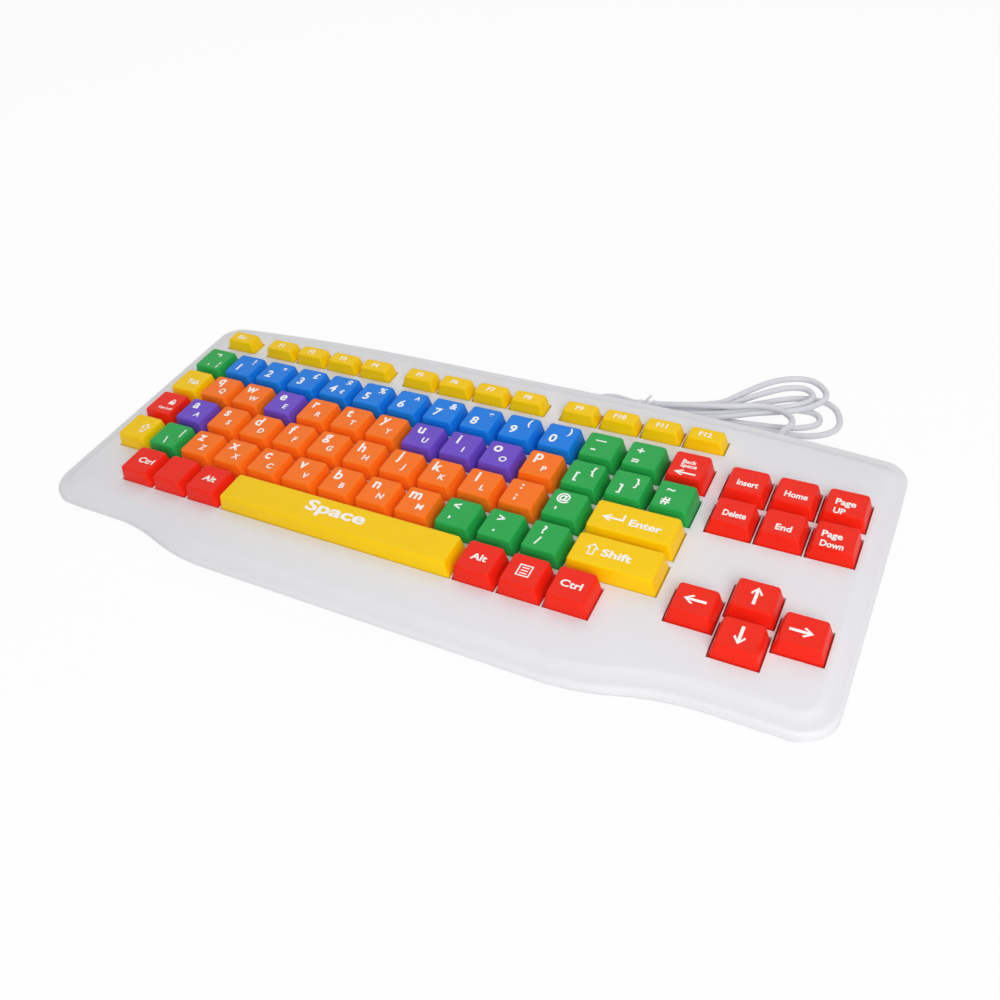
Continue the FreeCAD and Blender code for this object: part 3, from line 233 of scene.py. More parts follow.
def rounded_rectangle(left, right, front, back, radius, steps):
    """Corner points of a rectangle with round corners, anticlockwise from the front right."""
    points = []
    corners = [(right - radius, front + radius, -90), (right - radius, back - radius, 0),
               (left + radius, back - radius, 90), (left + radius, front + radius, 180)]
    for centre_x, centre_y, start in corners:
        for step in range(steps + 1):
            angle = math.radians(start + 90 * step / steps)
            points.append((centre_x + radius * math.cos(angle), centre_y + radius * math.sin(angle)))
    return points


# Key caps: columns, front and back of the skirt, front and back of the top, height, depth of the dish
SKIRT_DEPTH = 1.0
SIDE_SLOPE = 2.6
CORNER_STEPS = 5
BASE_CORNER = 1.7
TOP_CORNER = 1.7
CROWN_ROUND = 1.0
CROWN_PULL = 0.75
RIM_INSET = 0.9
RIM_CORNER = 1.1
FOOT_SHARE = 0.03
FOOT_INSET = 0.25
WALL_SHARES = (0.04, 0.35, 0.65)
PLUNGER_CORNER = 0.6
PLUNGER_HALF = 3.5
PLUNGER_BOTTOM = -8.5
CAPS = {
    "single": (1, -9.3, 12.15, -8.35, 11.65, 10.8, 0.2),
    "double": (2, -9.3, 12.15, -8.35, 11.65, 10.8, 0.0),
    "space": (6, -9.3, 12.15, -8.35, 11.65, 10.8, 0.0),
    "edit": (1, -9.1, 12.15, -6.6, 11.3, 8.8, 0.2),
    "function": (1, -5.5, 6.55, -4.35, 6.05, 8.4, 0.0),
}
ROUND_ANGLES = (15, 35, 55, 75)
DISH_SHARES = (0.86, 0.66, 0.4, 0.15)


class Cap:
    """Sizes of one kind of key cap and the height of its top."""

    def __init__(self, kind):
        (columns, self.base_front, self.base_back, self.top_front, self.top_back,
         self.height, self.dish) = CAPS[kind]
        self.half_width = (columns * KEY_PITCH - KEY_GAP) / 2
        self.top_half = self.half_width - SIDE_SLOPE

    def top(self, x, y):
        """Height of the dished top at a place on it."""
        middle = (self.top_front + self.top_back) / 2
        across = min(1.0, abs(x) / self.top_half)
        along = min(1.0, abs(y - middle) / (self.top_back - middle))
        return self.height - self.dish * (1 - across ** 2) * (1 - along ** 2)

    def outline(self, share, inset, radius):
        """Rounded outline at a share of the climb from skirt to top, pulled in by an inset."""
        return rounded_rectangle(-self.half_width + SIDE_SLOPE * share + inset,
                                 self.half_width - SIDE_SLOPE * share - inset,
                                 self.base_front + (self.top_front - self.base_front) * share + inset,
                                 self.base_back + (self.top_back - self.base_back) * share - inset,
                                 radius, CORNER_STEPS)

    def add_to(self, tool, x, y):
        climb = self.height + SKIRT_DEPTH
        rings = []

        def add_ring(outline, level):
            rings.append([tool.verts.new(deck_point(x + u, y + v, level)) for u, v in outline])

        add_ring(self.outline(FOOT_SHARE, FOOT_INSET, BASE_CORNER), -SKIRT_DEPTH)
        for share in WALL_SHARES:
            add_ring(self.outline(share, 0, BASE_CORNER + (TOP_CORNER - BASE_CORNER) * share),
                     -SKIRT_DEPTH + climb * share)
        shoulder = 1 - CROWN_ROUND / climb
        for angle in ROUND_ANGLES:
            lift = math.sin(math.radians(angle))
            inset = CROWN_ROUND * CROWN_PULL * (1 - math.cos(math.radians(angle)))
            share = shoulder + (1 - shoulder) * lift
            add_ring(self.outline(share, inset, TOP_CORNER), -SKIRT_DEPTH + climb * share)
        middle = (self.top_front + self.top_back) / 2
        rim = self.outline(1, RIM_INSET, RIM_CORNER)
        rings.append([tool.verts.new(deck_point(x + u, y + v, self.top(u, v))) for u, v in rim])
        for reach in DISH_SHARES:
            inner = [(u * reach, middle + (v - middle) * reach) for u, v in rim]
            rings.append([tool.verts.new(deck_point(x + u, y + v, self.top(u, v))) for u, v in inner])
        bridge(tool, rings)
        tool.faces.new(rings[-1])
        tool.faces.new(list(reversed(rings[0])))
        stem = rounded_rectangle(-PLUNGER_HALF, PLUNGER_HALF, -PLUNGER_HALF, PLUNGER_HALF,
                                 PLUNGER_CORNER, 2)
        levels = (PLUNGER_BOTTOM, -SKIRT_DEPTH)
        shaft = [[tool.verts.new(deck_point(x + u, y + v, level)) for u, v in stem] for level in levels]
        bridge(tool, shaft)
        tool.faces.new(list(reversed(shaft[0])))


# Legends: strokes of generic key signs, in millimetres from the middle of the key
STROKE_GROWTH = 0.028


def font_mesh(words, size):
    """Mesh of words in the built-in font, with strokes made bolder."""
    curve = bpy.data.curves.new("words", "FONT")
    curve.body = words
    curve.size = size
    curve.offset = STROKE_GROWTH * size
    curve.resolution_u = 4
    holder = bpy.data.objects.new("words", curve)
    scene.collection.objects.link(holder)
    bpy.context.view_layer.update()
    mesh = bpy.data.meshes.new_from_object(holder.evaluated_get(bpy.context.evaluated_depsgraph_get()))
    bpy.data.objects.remove(holder)
    bpy.data.curves.remove(curve)
    return mesh


LEGEND_LIFT = 0.05


def stamp(tool, cap, x, y, points, faces):
    """Flat shape set on the top of a cap, following its dish."""
    made = [tool.verts.new(deck_point(x + u, y + v, cap.top(u, v) + LEGEND_LIFT)) for u, v in points]
    for face in faces:
        tool.faces.new([made[corner] for corner in face])


def write(tool, cap, x, y, words, size, u, v, width=None):
    """Words with the middle of their box at u, v, stretched to a width if one is given."""
    mesh = font_mesh(words, size)
    lows = [min(vertex.co[axis] for vertex in mesh.vertices) for axis in (0, 1)]
    highs = [max(vertex.co[axis] for vertex in mesh.vertices) for axis in (0, 1)]
    shift = [(low + high) / 2 for low, high in zip(lows, highs)]
    stretch = width / (highs[0] - lows[0]) if width else 1.0
    points = [(u + (vertex.co.x - shift[0]) * stretch, v + vertex.co.y - shift[1])
              for vertex in mesh.vertices]
    stamp(tool, cap, x, y, points, [list(face.vertices) for face in mesh.polygons])
    bpy.data.meshes.remove(mesh)


# Right half of an arrow from tail to tip, as shares of half its length and half its head
ARROW_SIDE = [(-1, 0.27), (0.54, 0.27), (0.1, 0.74), (0.28, 1.0)]
ARROW = [(along, -across) for along, across in ARROW_SIDE] + [(1, 0)] + ARROW_SIDE[::-1]


def arrow(tool, cap, x, y, length, width, turn, u, v):
    cosine = math.cos(math.radians(turn))
    sine = math.sin(math.radians(turn))
    points = []
    for along, across in ARROW:
        a = along * length / 2
        b = across * width / 2
        points.append((u + a * cosine - b * sine, v + a * sine + b * cosine))
    stamp(tool, cap, x, y, points, [list(range(len(points)))])


def bar(tool, cap, x, y, left, right, front, back):
    points = [(left, front), (right, front), (right, back), (left, back)]
    stamp(tool, cap, x, y, points, [[0, 1, 2, 3]])


# Letter sizes of the legends
LETTER = 10.0
CAPITAL = 5.8
DIGIT = 9.0
SHIFTED = 7.0
SIGN = 7.6
WORD = 5.9
FINE = 4.0


def letter(sign):
    return [("words", sign, LETTER, -3.2, 5.6), ("words", sign.upper(), CAPITAL, 3.0, -1.6)]


def digit(sign, shifted, *others):
    return [("words", sign, DIGIT, -3.0, -0.8), ("words", shifted, SHIFTED, 4.6, 6.5), *others]


def signs(lower, upper, lower_at=(-2.6, -2.4), upper_at=(-2.4, 5.8)):
    return [("words", lower, SIGN, *lower_at), ("words", upper, SIGN, *upper_at)]


def word(text, u, v, width=None, size=WORD):
    return [("words", text, size, u, v, width)]


def main_x(columns):
    return MAIN_LEFT + columns * KEY_PITCH


def nav_x(columns):
    return NAV_LEFT + columns * KEY_PITCH


def row_y(rows):
    return GRID_FRONT + rows * ROW_PITCH


def main_row(row, first, legends):
    return [(main_x(first + number + 0.5), row_y(row + 0.5), legend)
            for number, legend in enumerate(legends)]


FUNCTION_Y = (FUNCTION_FRONT + FUNCTION_BACK) / 2


def function_row(left, names):
    return [(main_x(left + number + 0.5), FUNCTION_Y, word(name, -0.4, 0.9, None, 5.2))
            for number, name in enumerate(names)]


def nav_key(column, row, legend):
    return [(nav_x(column + 0.5), row_y(row + 0.5), legend)]


def wide_key(row, first, columns, legend):
    return [(main_x(first + columns / 2), row_y(row + 0.5), legend)]


BACK_SPACE = [("words", "Back", FINE, -0.4, 4.3), ("words", "Space", FINE, 0.0, 0.7),
              ("arrow", 12.0, 4.6, 180, -0.4, -4.8)]
PADLOCK = [("padlock", 3.8, 2.9), ("words", "Caps Lock", 3.0, 3.2, -3.3, 11.4)]
ENTER = [("return", -10.7, 0.4), ("words", "Enter", 6.6, 7.0, 0.5, 17.6)]
SHIFT = [("shift", -12.4, 1.4), ("words", "Shift", 6.6, 0.8, 1.4, 15.8)]
MENU = [("menu", 0.0, 1.7)]
PAGE_UP = word("Page", -0.5, 1.6, 10.0) + word("UP", -2.4, -4.6, 5.8)
PAGE_DOWN = word("Page", -1.7, 2.2, 10.0) + word("Down", -0.6, -4.0, 11.2)
EURO = ("words", "€", 4.6, 4.5, -2.4)
DIGITS = [digit(*pair) for pair in zip("1234567890", "!\"£$%^&*()")]
DIGITS[3].append(EURO)
BACKTICK = [("words", "¬", SIGN, -0.2, 6.0), ("words", "`", SIGN, -1.0, -5.0),
            ("words", "¦", 6.4, 6.5, -3.6)]
MINUS = [("bar", -4.6, 1.8, 4.9, 5.8), ("bar", -4.7, -1.7, -3.1, -2.0)]
EQUALS = signs("=", "+", (-3.2, -3.9), (-3.0, 4.8))
BRACKETS = [signs("[", "{", (-3.2, -1.2), (4.4, 4.9)), signs("]", "}", (-3.1, -2.3), (4.5, 4.0)),
            signs("#", "~", (-2.8, -3.4), (-2.6, 5.4))]
QUOTE = signs("'", "@", (-3.8, -2.4), (-2.5, 5.8))
BACKSLASH = signs("\\", "|", (0.1, -3.4), (6.9, 4.8))
HOME_SIGNS = [letter(sign) for sign in "sdfghjkl"] + [signs(";", ":", (-2.1, -2.0), (-2.0, 6.6))]
LOW_SIGNS = [signs(",", "<", (-3.3, -2.9), (-3.2, 6.4)), signs(".", ">", (-2.0, -3.4), (-1.8, 6.0)),
             signs("/", "?", (-2.6, -2.1), (-2.5, 5.9))]

# Keys: node, colour, kind of cap, then the place and legend of each key
KEYS = [
    ("key_escape", "key_yellow", "function", function_row(0, ["Esc"])),
    ("keys_f1_to_f4", "key_yellow", "function", function_row(4 / 3, ["F1", "F2", "F3", "F4"])),
    ("keys_f5_to_f8", "key_yellow", "function", function_row(17 / 3, ["F5", "F6", "F7", "F8"])),
    ("keys_f9_to_f12", "key_yellow", "function", function_row(10, ["F9", "F10", "F11", "F12"])),
    ("keys_number_row_signs", "key_green", "single",
     main_row(4, 0, [BACKTICK]) + main_row(4, 11, [MINUS, EQUALS])),
    ("keys_digits", "key_blue", "single", main_row(4, 1, DIGITS)),
    ("key_backspace", "key_red", "single", main_row(4, 13, [BACK_SPACE])),
    ("key_tab", "key_yellow", "single", main_row(3, 0, [word("Tab", 2.3, 0.8, 9.6)])),
    ("keys_top_letters", "key_orange", "single",
     main_row(3, 1, [letter("q"), letter("w")]) + main_row(3, 4, [letter(s) for s in "rty"])
     + main_row(3, 10, [letter("p")])),
    ("key_e", "key_purple", "single", main_row(3, 3, [letter("e")])),
    ("key_u", "key_purple", "single", main_row(3, 7, [letter("u")])),
    ("key_i", "key_purple", "single", main_row(3, 8, [letter("i")])),
    ("key_o", "key_purple", "single", main_row(3, 9, [letter("o")])),
    ("keys_bracket_signs", "key_green", "single",
     main_row(3, 11, BRACKETS) + main_row(2, 11, [QUOTE])),
    ("key_caps_lock", "key_red", "single", main_row(2, 0, [PADLOCK])),
    ("key_a", "key_purple", "single", main_row(2, 1, [letter("a")])),
    ("keys_home_letters", "key_orange", "single", main_row(2, 2, HOME_SIGNS)),
    ("key_enter", "key_yellow", "double", wide_key(2, 12, 2, ENTER)),
    ("key_left_shift", "key_yellow", "single", main_row(1, 0, [[("shift", 4.2, 0.8)]])),
    ("keys_low_row_signs", "key_green", "single",
     main_row(1, 1, [BACKSLASH]) + main_row(1, 9, LOW_SIGNS)),
    ("keys_low_letters", "key_orange", "single", main_row(1, 2, [letter(s) for s in "zxcvbnm"])),
    ("key_right_shift", "key_yellow", "double", wide_key(1, 12, 2, SHIFT)),
    ("key_left_control", "key_red", "single", main_row(0, 1, [word("Ctrl", 2.6, 1.6, 11.2)])),
    ("key_system", "key_red", "single", main_row(0, 2, [[]])),
    ("key_left_alt", "key_red", "single", main_row(0, 3, [word("Alt", 0.7, 2.0, 9.0)])),
    ("key_space", "key_yellow", "space", wide_key(0, 4, 6, word("Space", -0.6, 3.0, 38.6, 10.6))),
    ("key_right_alt", "key_red", "single", main_row(0, 10, [word("Alt", 0.0, 1.8, 9.0)])),
    ("key_menu", "key_red", "single", main_row(0, 11, [MENU])),
    ("key_right_control", "key_red", "single", main_row(0, 12, [word("Ctrl", 0.0, 1.5, 11.4)])),
    ("key_insert", "key_red", "edit", nav_key(0, 4, word("Insert", 0.9, 0.0, 11.2))),
    ("key_home", "key_red", "edit", nav_key(1, 4, word("Home", 0.7, -0.5, 11.8))),
    ("key_page_up", "key_red", "edit", nav_key(2, 4, PAGE_UP)),
    ("key_delete", "key_red", "edit", nav_key(0, 3, word("Delete", 1.0, 0.8, 12.0))),
    ("key_end", "key_red", "edit", nav_key(1, 3, word("End", 0.7, -0.3, 8.0))),
    ("key_page_down", "key_red", "edit", nav_key(2, 3, PAGE_DOWN)),
    ("key_arrow_up", "key_red", "edit", nav_key(1, 1, [("arrow", 10.8, 5.8, 90, 0.3, 2.2)])),
    ("key_arrow_down", "key_red", "edit", nav_key(1, 0, [("arrow", 10.8, 5.8, -90, 0.2, 2.3)])),
    ("key_arrow_left", "key_red", "edit", nav_key(0, 0.5, [("arrow", 11.0, 5.8, 180, 0.4, 2.3)])),
    ("key_arrow_right", "key_red", "edit", nav_key(2, 0.5, [("arrow", 11.0, 5.8, 0, -0.9, 1.5)])),
]


def draw_padlock(tool, cap, x, y, u, v):
    bar(tool, cap, x, y, u - 2.2, u + 2.2, v - 2.0, v + 0.8)
    ring = [math.radians(180 * step / 8) for step in range(9)]
    outer = [(u + 1.7 * math.cos(angle), v + 0.8 + 2.2 * math.sin(angle)) for angle in ring]
    inner = [(u + 1.0 * math.cos(angle), v + 0.8 + 1.4 * math.sin(angle)) for angle in ring]
    count = len(ring)
    faces = [[n, n + 1, count + n + 1, count + n] for n in range(count - 1)]
    stamp(tool, cap, x, y, outer + inner, faces)


def draw_return(tool, cap, x, y, u, v):
    arrow(tool, cap, x, y, 12.0, 5.0, 180, u, v)
    bar(tool, cap, x, y, u + 4.9, u + 6.1, v + 0.6, v + 4.0)


def draw_shift(tool, cap, x, y, u, v):
    outer = [(0, 4.4), (-3.6, 0.6), (-1.7, 0.6), (-1.7, -3.6), (1.7, -3.6), (1.7, 0.6), (3.6, 0.6)]
    inner = [(0, 3.2), (-2.0, 1.3), (-1.0, 1.3), (-1.0, -2.9), (1.0, -2.9), (1.0, 1.3), (2.0, 1.3)]
    points = [(u + a, v + b) for a, b in outer + inner]
    count = len(outer)
    faces = [[n, (n + 1) % count, count + (n + 1) % count, count + n] for n in range(count)]
    stamp(tool, cap, x, y, points, faces)


def draw_menu(tool, cap, x, y, u, v):
    outer = [(-3.7, -3.8), (3.7, -3.8), (3.7, 3.8), (-3.7, 3.8)]
    inner = [(a * 0.8, b * 0.8) for a, b in outer]
    points = [(u + a, v + b) for a, b in outer + inner]
    stamp(tool, cap, x, y, points, [[n, (n + 1) % 4, 4 + (n + 1) % 4, 4 + n] for n in range(4)])
    for level in (-1.8, 0.0, 1.8):
        bar(tool, cap, x, y, u - 2.0, u + 2.0, v + level - 0.35, v + level + 0.35)


PICTURES = {"words": write, "arrow": arrow, "bar": bar, "padlock": draw_padlock, "return": draw_return,
            "shift": draw_shift, "menu": draw_menu}

for node_name, colour_slot, kind, places in KEYS:
    cap = Cap(kind)
    cap_tool = bmesh.new()
    legend_tool = bmesh.new()
    for x, y, legend in places:
        cap.add_to(cap_tool, x, y)
        for picture, *details in legend:
            PICTURES[picture](legend_tool, cap, x, y, *details)
    caps = make_object(node_name + "_caps", finish_mesh(node_name + "_caps", cap_tool, 60.0),
                       LOOKS[colour_slot], node_name)
    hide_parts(node_name)
    if legend_tool.verts:
        for face in legend_tool.faces:
            face.normal_update()
        legend_mesh = bpy.data.meshes.new(node_name + "_legends")
        legend_tool.to_mesh(legend_mesh)
        make_object(node_name + "_legends", legend_mesh, LOOKS["legend"], node_name)
    legend_tool.free()

# Upper housing
FRONT_Y = -CASE_DEPTH / 2
BACK_Y = CASE_DEPTH / 2
FRONT_CORNER = 19.0
REAR_CORNER = 15.0
WING_WIDTH = 53.5
WING_SETBACK = 13.2
SWEEP_LENGTH = 82.6
BOW_LENGTH = 157.4
BOW_RADIUS = 1400.0
WING_START = CASE_WIDTH / 2 - WING_WIDTH
PALM_HALF = WING_START - SWEEP_LENGTH
SWEEP_RADIUS = (SWEEP_LENGTH ** 2 + WING_SETBACK ** 2) / (4 * WING_SETBACK)
BACK_FLAT_HALF = CASE_WIDTH / 2 - BOW_LENGTH
BOW_CENTRE_Y = BACK_Y - BOW_RADIUS
BOW_RISE = math.sqrt((BOW_RADIUS - REAR_CORNER) ** 2 - (BOW_LENGTH - REAR_CORNER) ** 2)


def arc_points(centre, radius, start, end, steps, outward=1):
    """Places and outward directions along an arc, angles in degrees."""
    points = []
    for step in range(steps + 1):
        angle = math.radians(start + (end - start) * step / steps)
        away = Vector((math.cos(angle), math.sin(angle)))
        points.append((Vector(centre) + away * radius, away * outward))
    return points


def housing_outline():
    """Outer line of the housing from above, anticlockwise, as places with outward directions."""
    sweep = math.degrees(math.asin(SWEEP_LENGTH / (2 * SWEEP_RADIUS)))
    front_x = CASE_WIDTH / 2 - FRONT_CORNER
    rear_x = CASE_WIDTH / 2 - REAR_CORNER
    wing_y = FRONT_Y + WING_SETBACK
    corner_y = BOW_CENTRE_Y + BOW_RISE
    bow = math.degrees(math.atan2(BOW_RISE, BOW_LENGTH - REAR_CORNER))
    right = arc_points((PALM_HALF, FRONT_Y + SWEEP_RADIUS), SWEEP_RADIUS, -90, -90 + sweep, 14)
    right += arc_points((WING_START, wing_y - SWEEP_RADIUS), SWEEP_RADIUS, 90 + sweep, 90, 14, -1)[1:]
    right += arc_points((front_x, wing_y + FRONT_CORNER), FRONT_CORNER, -90, 0, 12)
    right += arc_points((rear_x, corner_y), REAR_CORNER, 0, bow, 12)
    right += arc_points((BACK_FLAT_HALF, BOW_CENTRE_Y), BOW_RADIUS, bow, 90, 10)[1:]
    left = [(Vector((-place.x, place.y)), Vector((-away.x, away.y))) for place, away in reversed(right)]
    return right + left


def deck_level(y, below):
    return DECK_HEIGHT + y * math.tan(DECK_TILT) - below / math.cos(DECK_TILT)


def offset_loop(loop, distance):
    """Square-cornered loop, anticlockwise, grown outwards."""
    count = len(loop)
    grown = []
    for number in range(count):
        before = Vector(loop[number]) - Vector(loop[number - 1])
        after = Vector(loop[(number + 1) % count]) - Vector(loop[number])
        side = Vector((before.y, -before.x)).normalized() + Vector((after.y, -after.x)).normalized()
        grown.append((loop[number][0] + side.x * distance, loop[number][1] + side.y * distance))
    return grown


def rectangle_loop(left, right, front, back):
    return [(left, front), (right, front), (right, back), (left, back)]


# One hole in the deck for each key, with thin webs between neighbours
WELLS = []
for node_name, colour_slot, kind, places in KEYS:
    cap = Cap(kind)
    reach = cap.half_width + WELL_CLEARANCE
    for x, y, _ in places:
        WELLS.append((x, y, rectangle_loop(x - reach, x + reach, y + cap.base_front - WELL_CLEARANCE,
                                           y + cap.base_back + WELL_CLEARANCE)))

# Inset from the outer wall and depth under the deck along the rolled border
BORDER_PROFILE = [
    (EDGE_ROUND * (1 - math.cos(math.radians(angle))),
     BORDER_DROP + EDGE_ROUND * (1 - math.sin(math.radians(angle)))) for angle in range(0, 91, 15)
] + [(5.0, 0.95), (6.5, 0.5), (8.0, -0.1), (9.2, -0.7), (10.2, -1.08), (BORDER_WIDTH, -DECK_RAISE)]


def fill(tool, outer, holes, level):
    """Flat face in the deck frame with holes."""
    loops = [outer] + holes
    points = []
    edges = []
    for loop in loops:
        first = len(points)
        points.extend(Vector(point) for point in loop)
        edges.extend((first + n, first + (n + 1) % len(loop)) for n in range(len(loop)))
    faces = [list(range(len(outer)))]
    first = len(outer)
    for hole in holes:
        faces.append(list(range(first, first + len(hole))))
        first += len(hole)
    made_points, _, made_faces, _, _, face_sources = delaunay_2d_cdt(points, edges, faces, 0, 1e-6)
    made = [tool.verts.new(deck_point(point.x, point.y, level)) for point in made_points]
    for corners, origins in zip(made_faces, face_sources):
        if list(origins) == [0]:
            tool.faces.new([made[corner] for corner in corners])


def to_deck(place, below):
    """Deck-frame x and y of a place on the sloping deck."""
    level = deck_level(place.y, below) - DECK_HEIGHT
    return place.x, place.y * math.cos(DECK_TILT) + level * math.sin(DECK_TILT)


housing_tool = bmesh.new()
outline = housing_outline()
housing_rings = []


def add_housing_ring(inset, height_at):
    ring = []
    for place, away in outline:
        spot = place - away * inset
        ring.append(housing_tool.verts.new(Vector((spot.x, spot.y, height_at(spot.y))) * MM))
    housing_rings.append(ring)


PARTING_LAND = 1.2
add_housing_ring(PARTING_LAND, lambda y: PARTING_HEIGHT)
add_housing_ring(0.0, lambda y: PARTING_HEIGHT)
for inset, below in BORDER_PROFILE:
    add_housing_ring(inset, lambda y, depth=below: deck_level(y, depth))
bridge(housing_tool, housing_rings)
LIP = 0.12
deck_outline = [to_deck(place - away * BORDER_WIDTH, -DECK_RAISE) for place, away in outline]
fill(housing_tool, deck_outline, [offset_loop(loop, LIP) for _, _, loop in WELLS], DECK_RAISE)

PLUNGER_CLEARANCE = 0.3
PLUNGER_HOLE = PLUNGER_HALF + PLUNGER_CLEARANCE
for x, y, loop in WELLS:
    well_rings = []
    for grow, level in ((LIP, DECK_RAISE), (0.0, DECK_RAISE - LIP), (0.0, WELL_BOTTOM)):
        well_rings.append([housing_tool.verts.new(deck_point(u, v, level))
                           for u, v in offset_loop(loop, grow)])
    bridge(housing_tool, well_rings)
    hole = rectangle_loop(x - PLUNGER_HOLE, x + PLUNGER_HOLE, y - PLUNGER_HOLE, y + PLUNGER_HOLE)
    fill(housing_tool, loop, [hole], WELL_BOTTOM)
MERGE_DISTANCE = 2e-6
bmesh.ops.remove_doubles(housing_tool, verts=housing_tool.verts, dist=MERGE_DISTANCE)
upper_housing = make_object("upper_housing", finish_mesh("upper_housing", housing_tool, 40.0),
                            LOOKS["white_shell"], "housing")
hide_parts("top_case")

# Cable: places from the middle of its exit in the rear wall, as in the part's source
HANK_MIDDLE = Vector((-52, 37, 0))
HANK_TURN = Matrix.Rotation(math.radians(17), 3, "Z")
HANK_LEFT = -43
HANK_RIGHT = 7
LOW = 3.2
MID = 7.8
HIGH = 12.4
NEAR = 2.3
FAR = 6.9
BOOT_END = 11.0


def hank_point(u, v, z):
    return HANK_MIDDLE + HANK_TURN @ Vector((u, v, 0)) + Vector((0, 0, z))


def hank_loop(base_u, base_v, direction, length, half_width, levels, shoulder):
    """Places round a loop that is widest at a share of its length."""
    along = Vector((math.cos(math.radians(direction)), math.sin(math.radians(direction))))
    across = Vector((-along.y, along.x))
    rest = 1 - shoulder
    half = [(0.5 * shoulder, 0.62), (shoulder, 1.0), (shoulder + 0.55 * rest, 1.03), (1.03, 0.6)]
    shape = [(reach, -offset) for reach, offset in half] + half[::-1]
    points = []
    for number, (reach, offset) in enumerate(shape):
        spot = Vector((base_u, base_v)) + along * reach * length + across * offset * half_width
        level = levels[0] if number < 3 else levels[1] if number < 5 else levels[2]
        points.append(hank_point(spot.x, spot.y, level))
    return points


def waist(v, level, rightward):
    ends = [HANK_LEFT, HANK_RIGHT] if rightward else [HANK_RIGHT, HANK_LEFT]
    return [hank_point(u, v, level) for u in ends]


CABLE_ROUTE = (
    [Vector((0, BOOT_END, EXIT_HEIGHT)), Vector((0, 17.5, EXIT_HEIGHT)),
     Vector((4, 26.5, EXIT_HEIGHT - 1.4)), Vector((1, 38, EXIT_HEIGHT - 3.6)),
     Vector((-9, 47, EXIT_HEIGHT - 5.6)), Vector((-23, 48, EXIT_HEIGHT - 6.6)),
     hank_point(HANK_RIGHT + 12, 0, HIGH)]
    + waist(0, HIGH, False)
    + hank_loop(HANK_LEFT, -2.3, 185.3, 28, 11, (HIGH, HIGH - 1, MID), 0.49)
    + waist(-FAR, MID, True)
    + hank_loop(HANK_RIGHT, 2, 23.6, 70.2, 17.2, (MID, MID, MID), 0.58)
    + waist(FAR, MID, False)
    + hank_loop(HANK_LEFT, 1.2, 184.5, 22.6, 9, (MID, MID, MID), 0.72)
    + waist(-NEAR, MID, True)
    + hank_loop(HANK_RIGHT, 2, 20.9, 61.3, 9.9, (MID, MID, MID), 0.67)
    + waist(NEAR, MID, False)
    + hank_loop(HANK_LEFT, 0.3, 186.7, 17.5, 4.6, (MID, MID, LOW), 0.7)
    + waist(-NEAR, LOW, True)
    + hank_loop(HANK_RIGHT, 0.1, 1.9, 61.1, 9.9, (LOW, LOW, LOW), 0.62)
    + waist(NEAR, LOW, False)
    + hank_loop(HANK_LEFT, -4.4, 183.3, 22.4, 8, (LOW, LOW, LOW), 0.58)
    + waist(-FAR, LOW, True)
    + hank_loop(HANK_RIGHT, 2, 2.3, 72.7, 20.3, (LOW, LOW, LOW), 0.62)
    + waist(FAR, LOW, False)
    + [hank_point(HANK_LEFT - 10, FAR, LOW), Vector((-125, 27.5, 2.6)), Vector((-145, 25.4, 2.4)),
       Vector((-165, 21, 2.6)), Vector((-183, 16, 3.4)), Vector((-197, 15, 4)), Vector((-209, 15, 4))]
)

cable_curve = bpy.data.curves.new("cable", "CURVE")
cable_curve.dimensions = "3D"
cable_curve.bevel_depth = CABLE_DIAMETER / 2 * MM
cable_curve.bevel_resolution = 4
cable_curve.resolution_u = 6
cable_curve.use_fill_caps = True
cable_spline = cable_curve.splines.new("NURBS")
cable_spline.points.add(len(CABLE_ROUTE) - 1)
for point, spot in zip(cable_spline.points, CABLE_ROUTE):
    point.co = ((spot.x + EXIT_X) * MM, (spot.y + EXIT_WALL) * MM, spot.z * MM, 1.0)
cable_spline.order_u = 3
cable_spline.use_endpoint_u = True
cable = make_object("cable", cable_curve, LOOKS["white_plastic"], "housing")
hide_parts("cable_lead", "cable_hank", "cable_tail")

# Floor and light
FLOOR_HALF = 4.0
FLOOR_GLOW = 0.94
STUDIO_LIGHT = 0.36
WHITE = (1.0, 1.0, 1.0, 1.0)


def background_rays(tree):
    """Socket that is 1 on the rays that show the background: camera, glossy and transmission rays."""
    path = add_node(tree, "ShaderNodeLightPath")
    seen = path.outputs["Is Camera Ray"]
    for name in ("Is Glossy Ray", "Is Transmission Ray"):
        either = add_node(tree, "ShaderNodeMath", operation="MAXIMUM")
        tree.links.new(seen, either.inputs[0])
        tree.links.new(path.outputs[name], either.inputs[1])
        seen = either.outputs["Value"]
    return seen


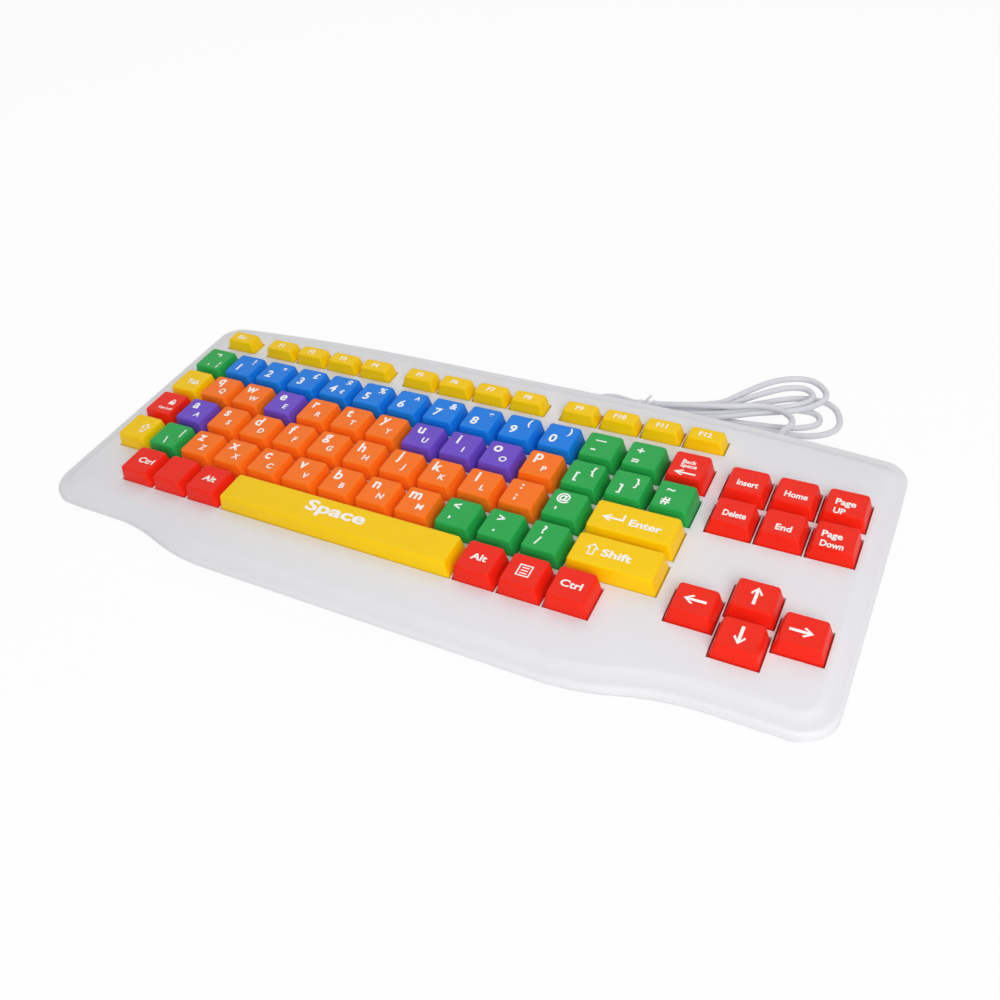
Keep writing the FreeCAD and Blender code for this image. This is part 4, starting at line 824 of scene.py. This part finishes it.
floor_tool = bmesh.new()
bmesh.ops.create_grid(floor_tool, x_segments=1, y_segments=1, size=FLOOR_HALF)
floor_mesh = finish_mesh("floor", floor_tool)
floor_look, floor_tree, floor_shader = new_material("floor")
floor_shader.inputs["Base Color"].default_value = (0.9, 0.9, 0.9, 1.0)
floor_shader.inputs["Roughness"].default_value = 0.9
floor_shader.inputs["Specular IOR Level"].default_value = 0.0
glow = add_node(floor_tree, "ShaderNodeEmission", Strength=1.0)
blend_node = add_node(floor_tree, "ShaderNodeMixShader")
output = floor_tree.nodes["Material Output"]
dim = add_node(floor_tree, "ShaderNodeMath", operation="MULTIPLY")
dim.inputs[1].default_value = FLOOR_GLOW
floor_tree.links.new(background_rays(floor_tree), dim.inputs[0])
floor_tree.links.new(dim.outputs["Value"], blend_node.inputs["Fac"])
floor_tree.links.new(floor_shader.outputs["BSDF"], blend_node.inputs[1])
floor_tree.links.new(glow.outputs["Emission"], blend_node.inputs[2])
floor_tree.links.new(blend_node.outputs["Shader"], output.inputs["Surface"])
floor_mesh.materials.append(floor_look)
floor = bpy.data.objects.new("floor", floor_mesh)
scene.collection.objects.link(floor)

world = bpy.data.worlds.new("studio")
world.use_nodes = True
world_tree = world.node_tree
studio_light = world_tree.nodes["Background"]
studio_light.inputs["Color"].default_value = WHITE
studio_light.inputs["Strength"].default_value = STUDIO_LIGHT
backdrop = add_node(world_tree, "ShaderNodeBackground", Color=WHITE, Strength=1.0)
world_mix = add_node(world_tree, "ShaderNodeMixShader")
world_tree.links.new(background_rays(world_tree), world_mix.inputs["Fac"])
world_tree.links.new(studio_light.outputs["Background"], world_mix.inputs[1])
world_tree.links.new(backdrop.outputs["Background"], world_mix.inputs[2])
world_tree.links.new(world_mix.outputs["Shader"], world_tree.nodes["World Output"].inputs["Surface"])
scene.world = world


def area_light(name, place, size, power):
    """Square lamp that points at the middle of the table."""
    data = bpy.data.lights.new(name, "AREA")
    data.shape = "SQUARE"
    data.size = size
    data.energy = power
    lamp = bpy.data.objects.new(name, data)
    lamp.location = place
    lamp.rotation_euler = (-Vector(place)).to_track_quat("-Z", "Y").to_euler()
    scene.collection.objects.link(lamp)


area_light("overhead", (-0.3, 0.6, 1.2), 1.4, 5.0)
area_light("front", (0.7, -0.8, 0.75), 0.8, 10.4)

scene.view_settings.view_transform = "Standard"
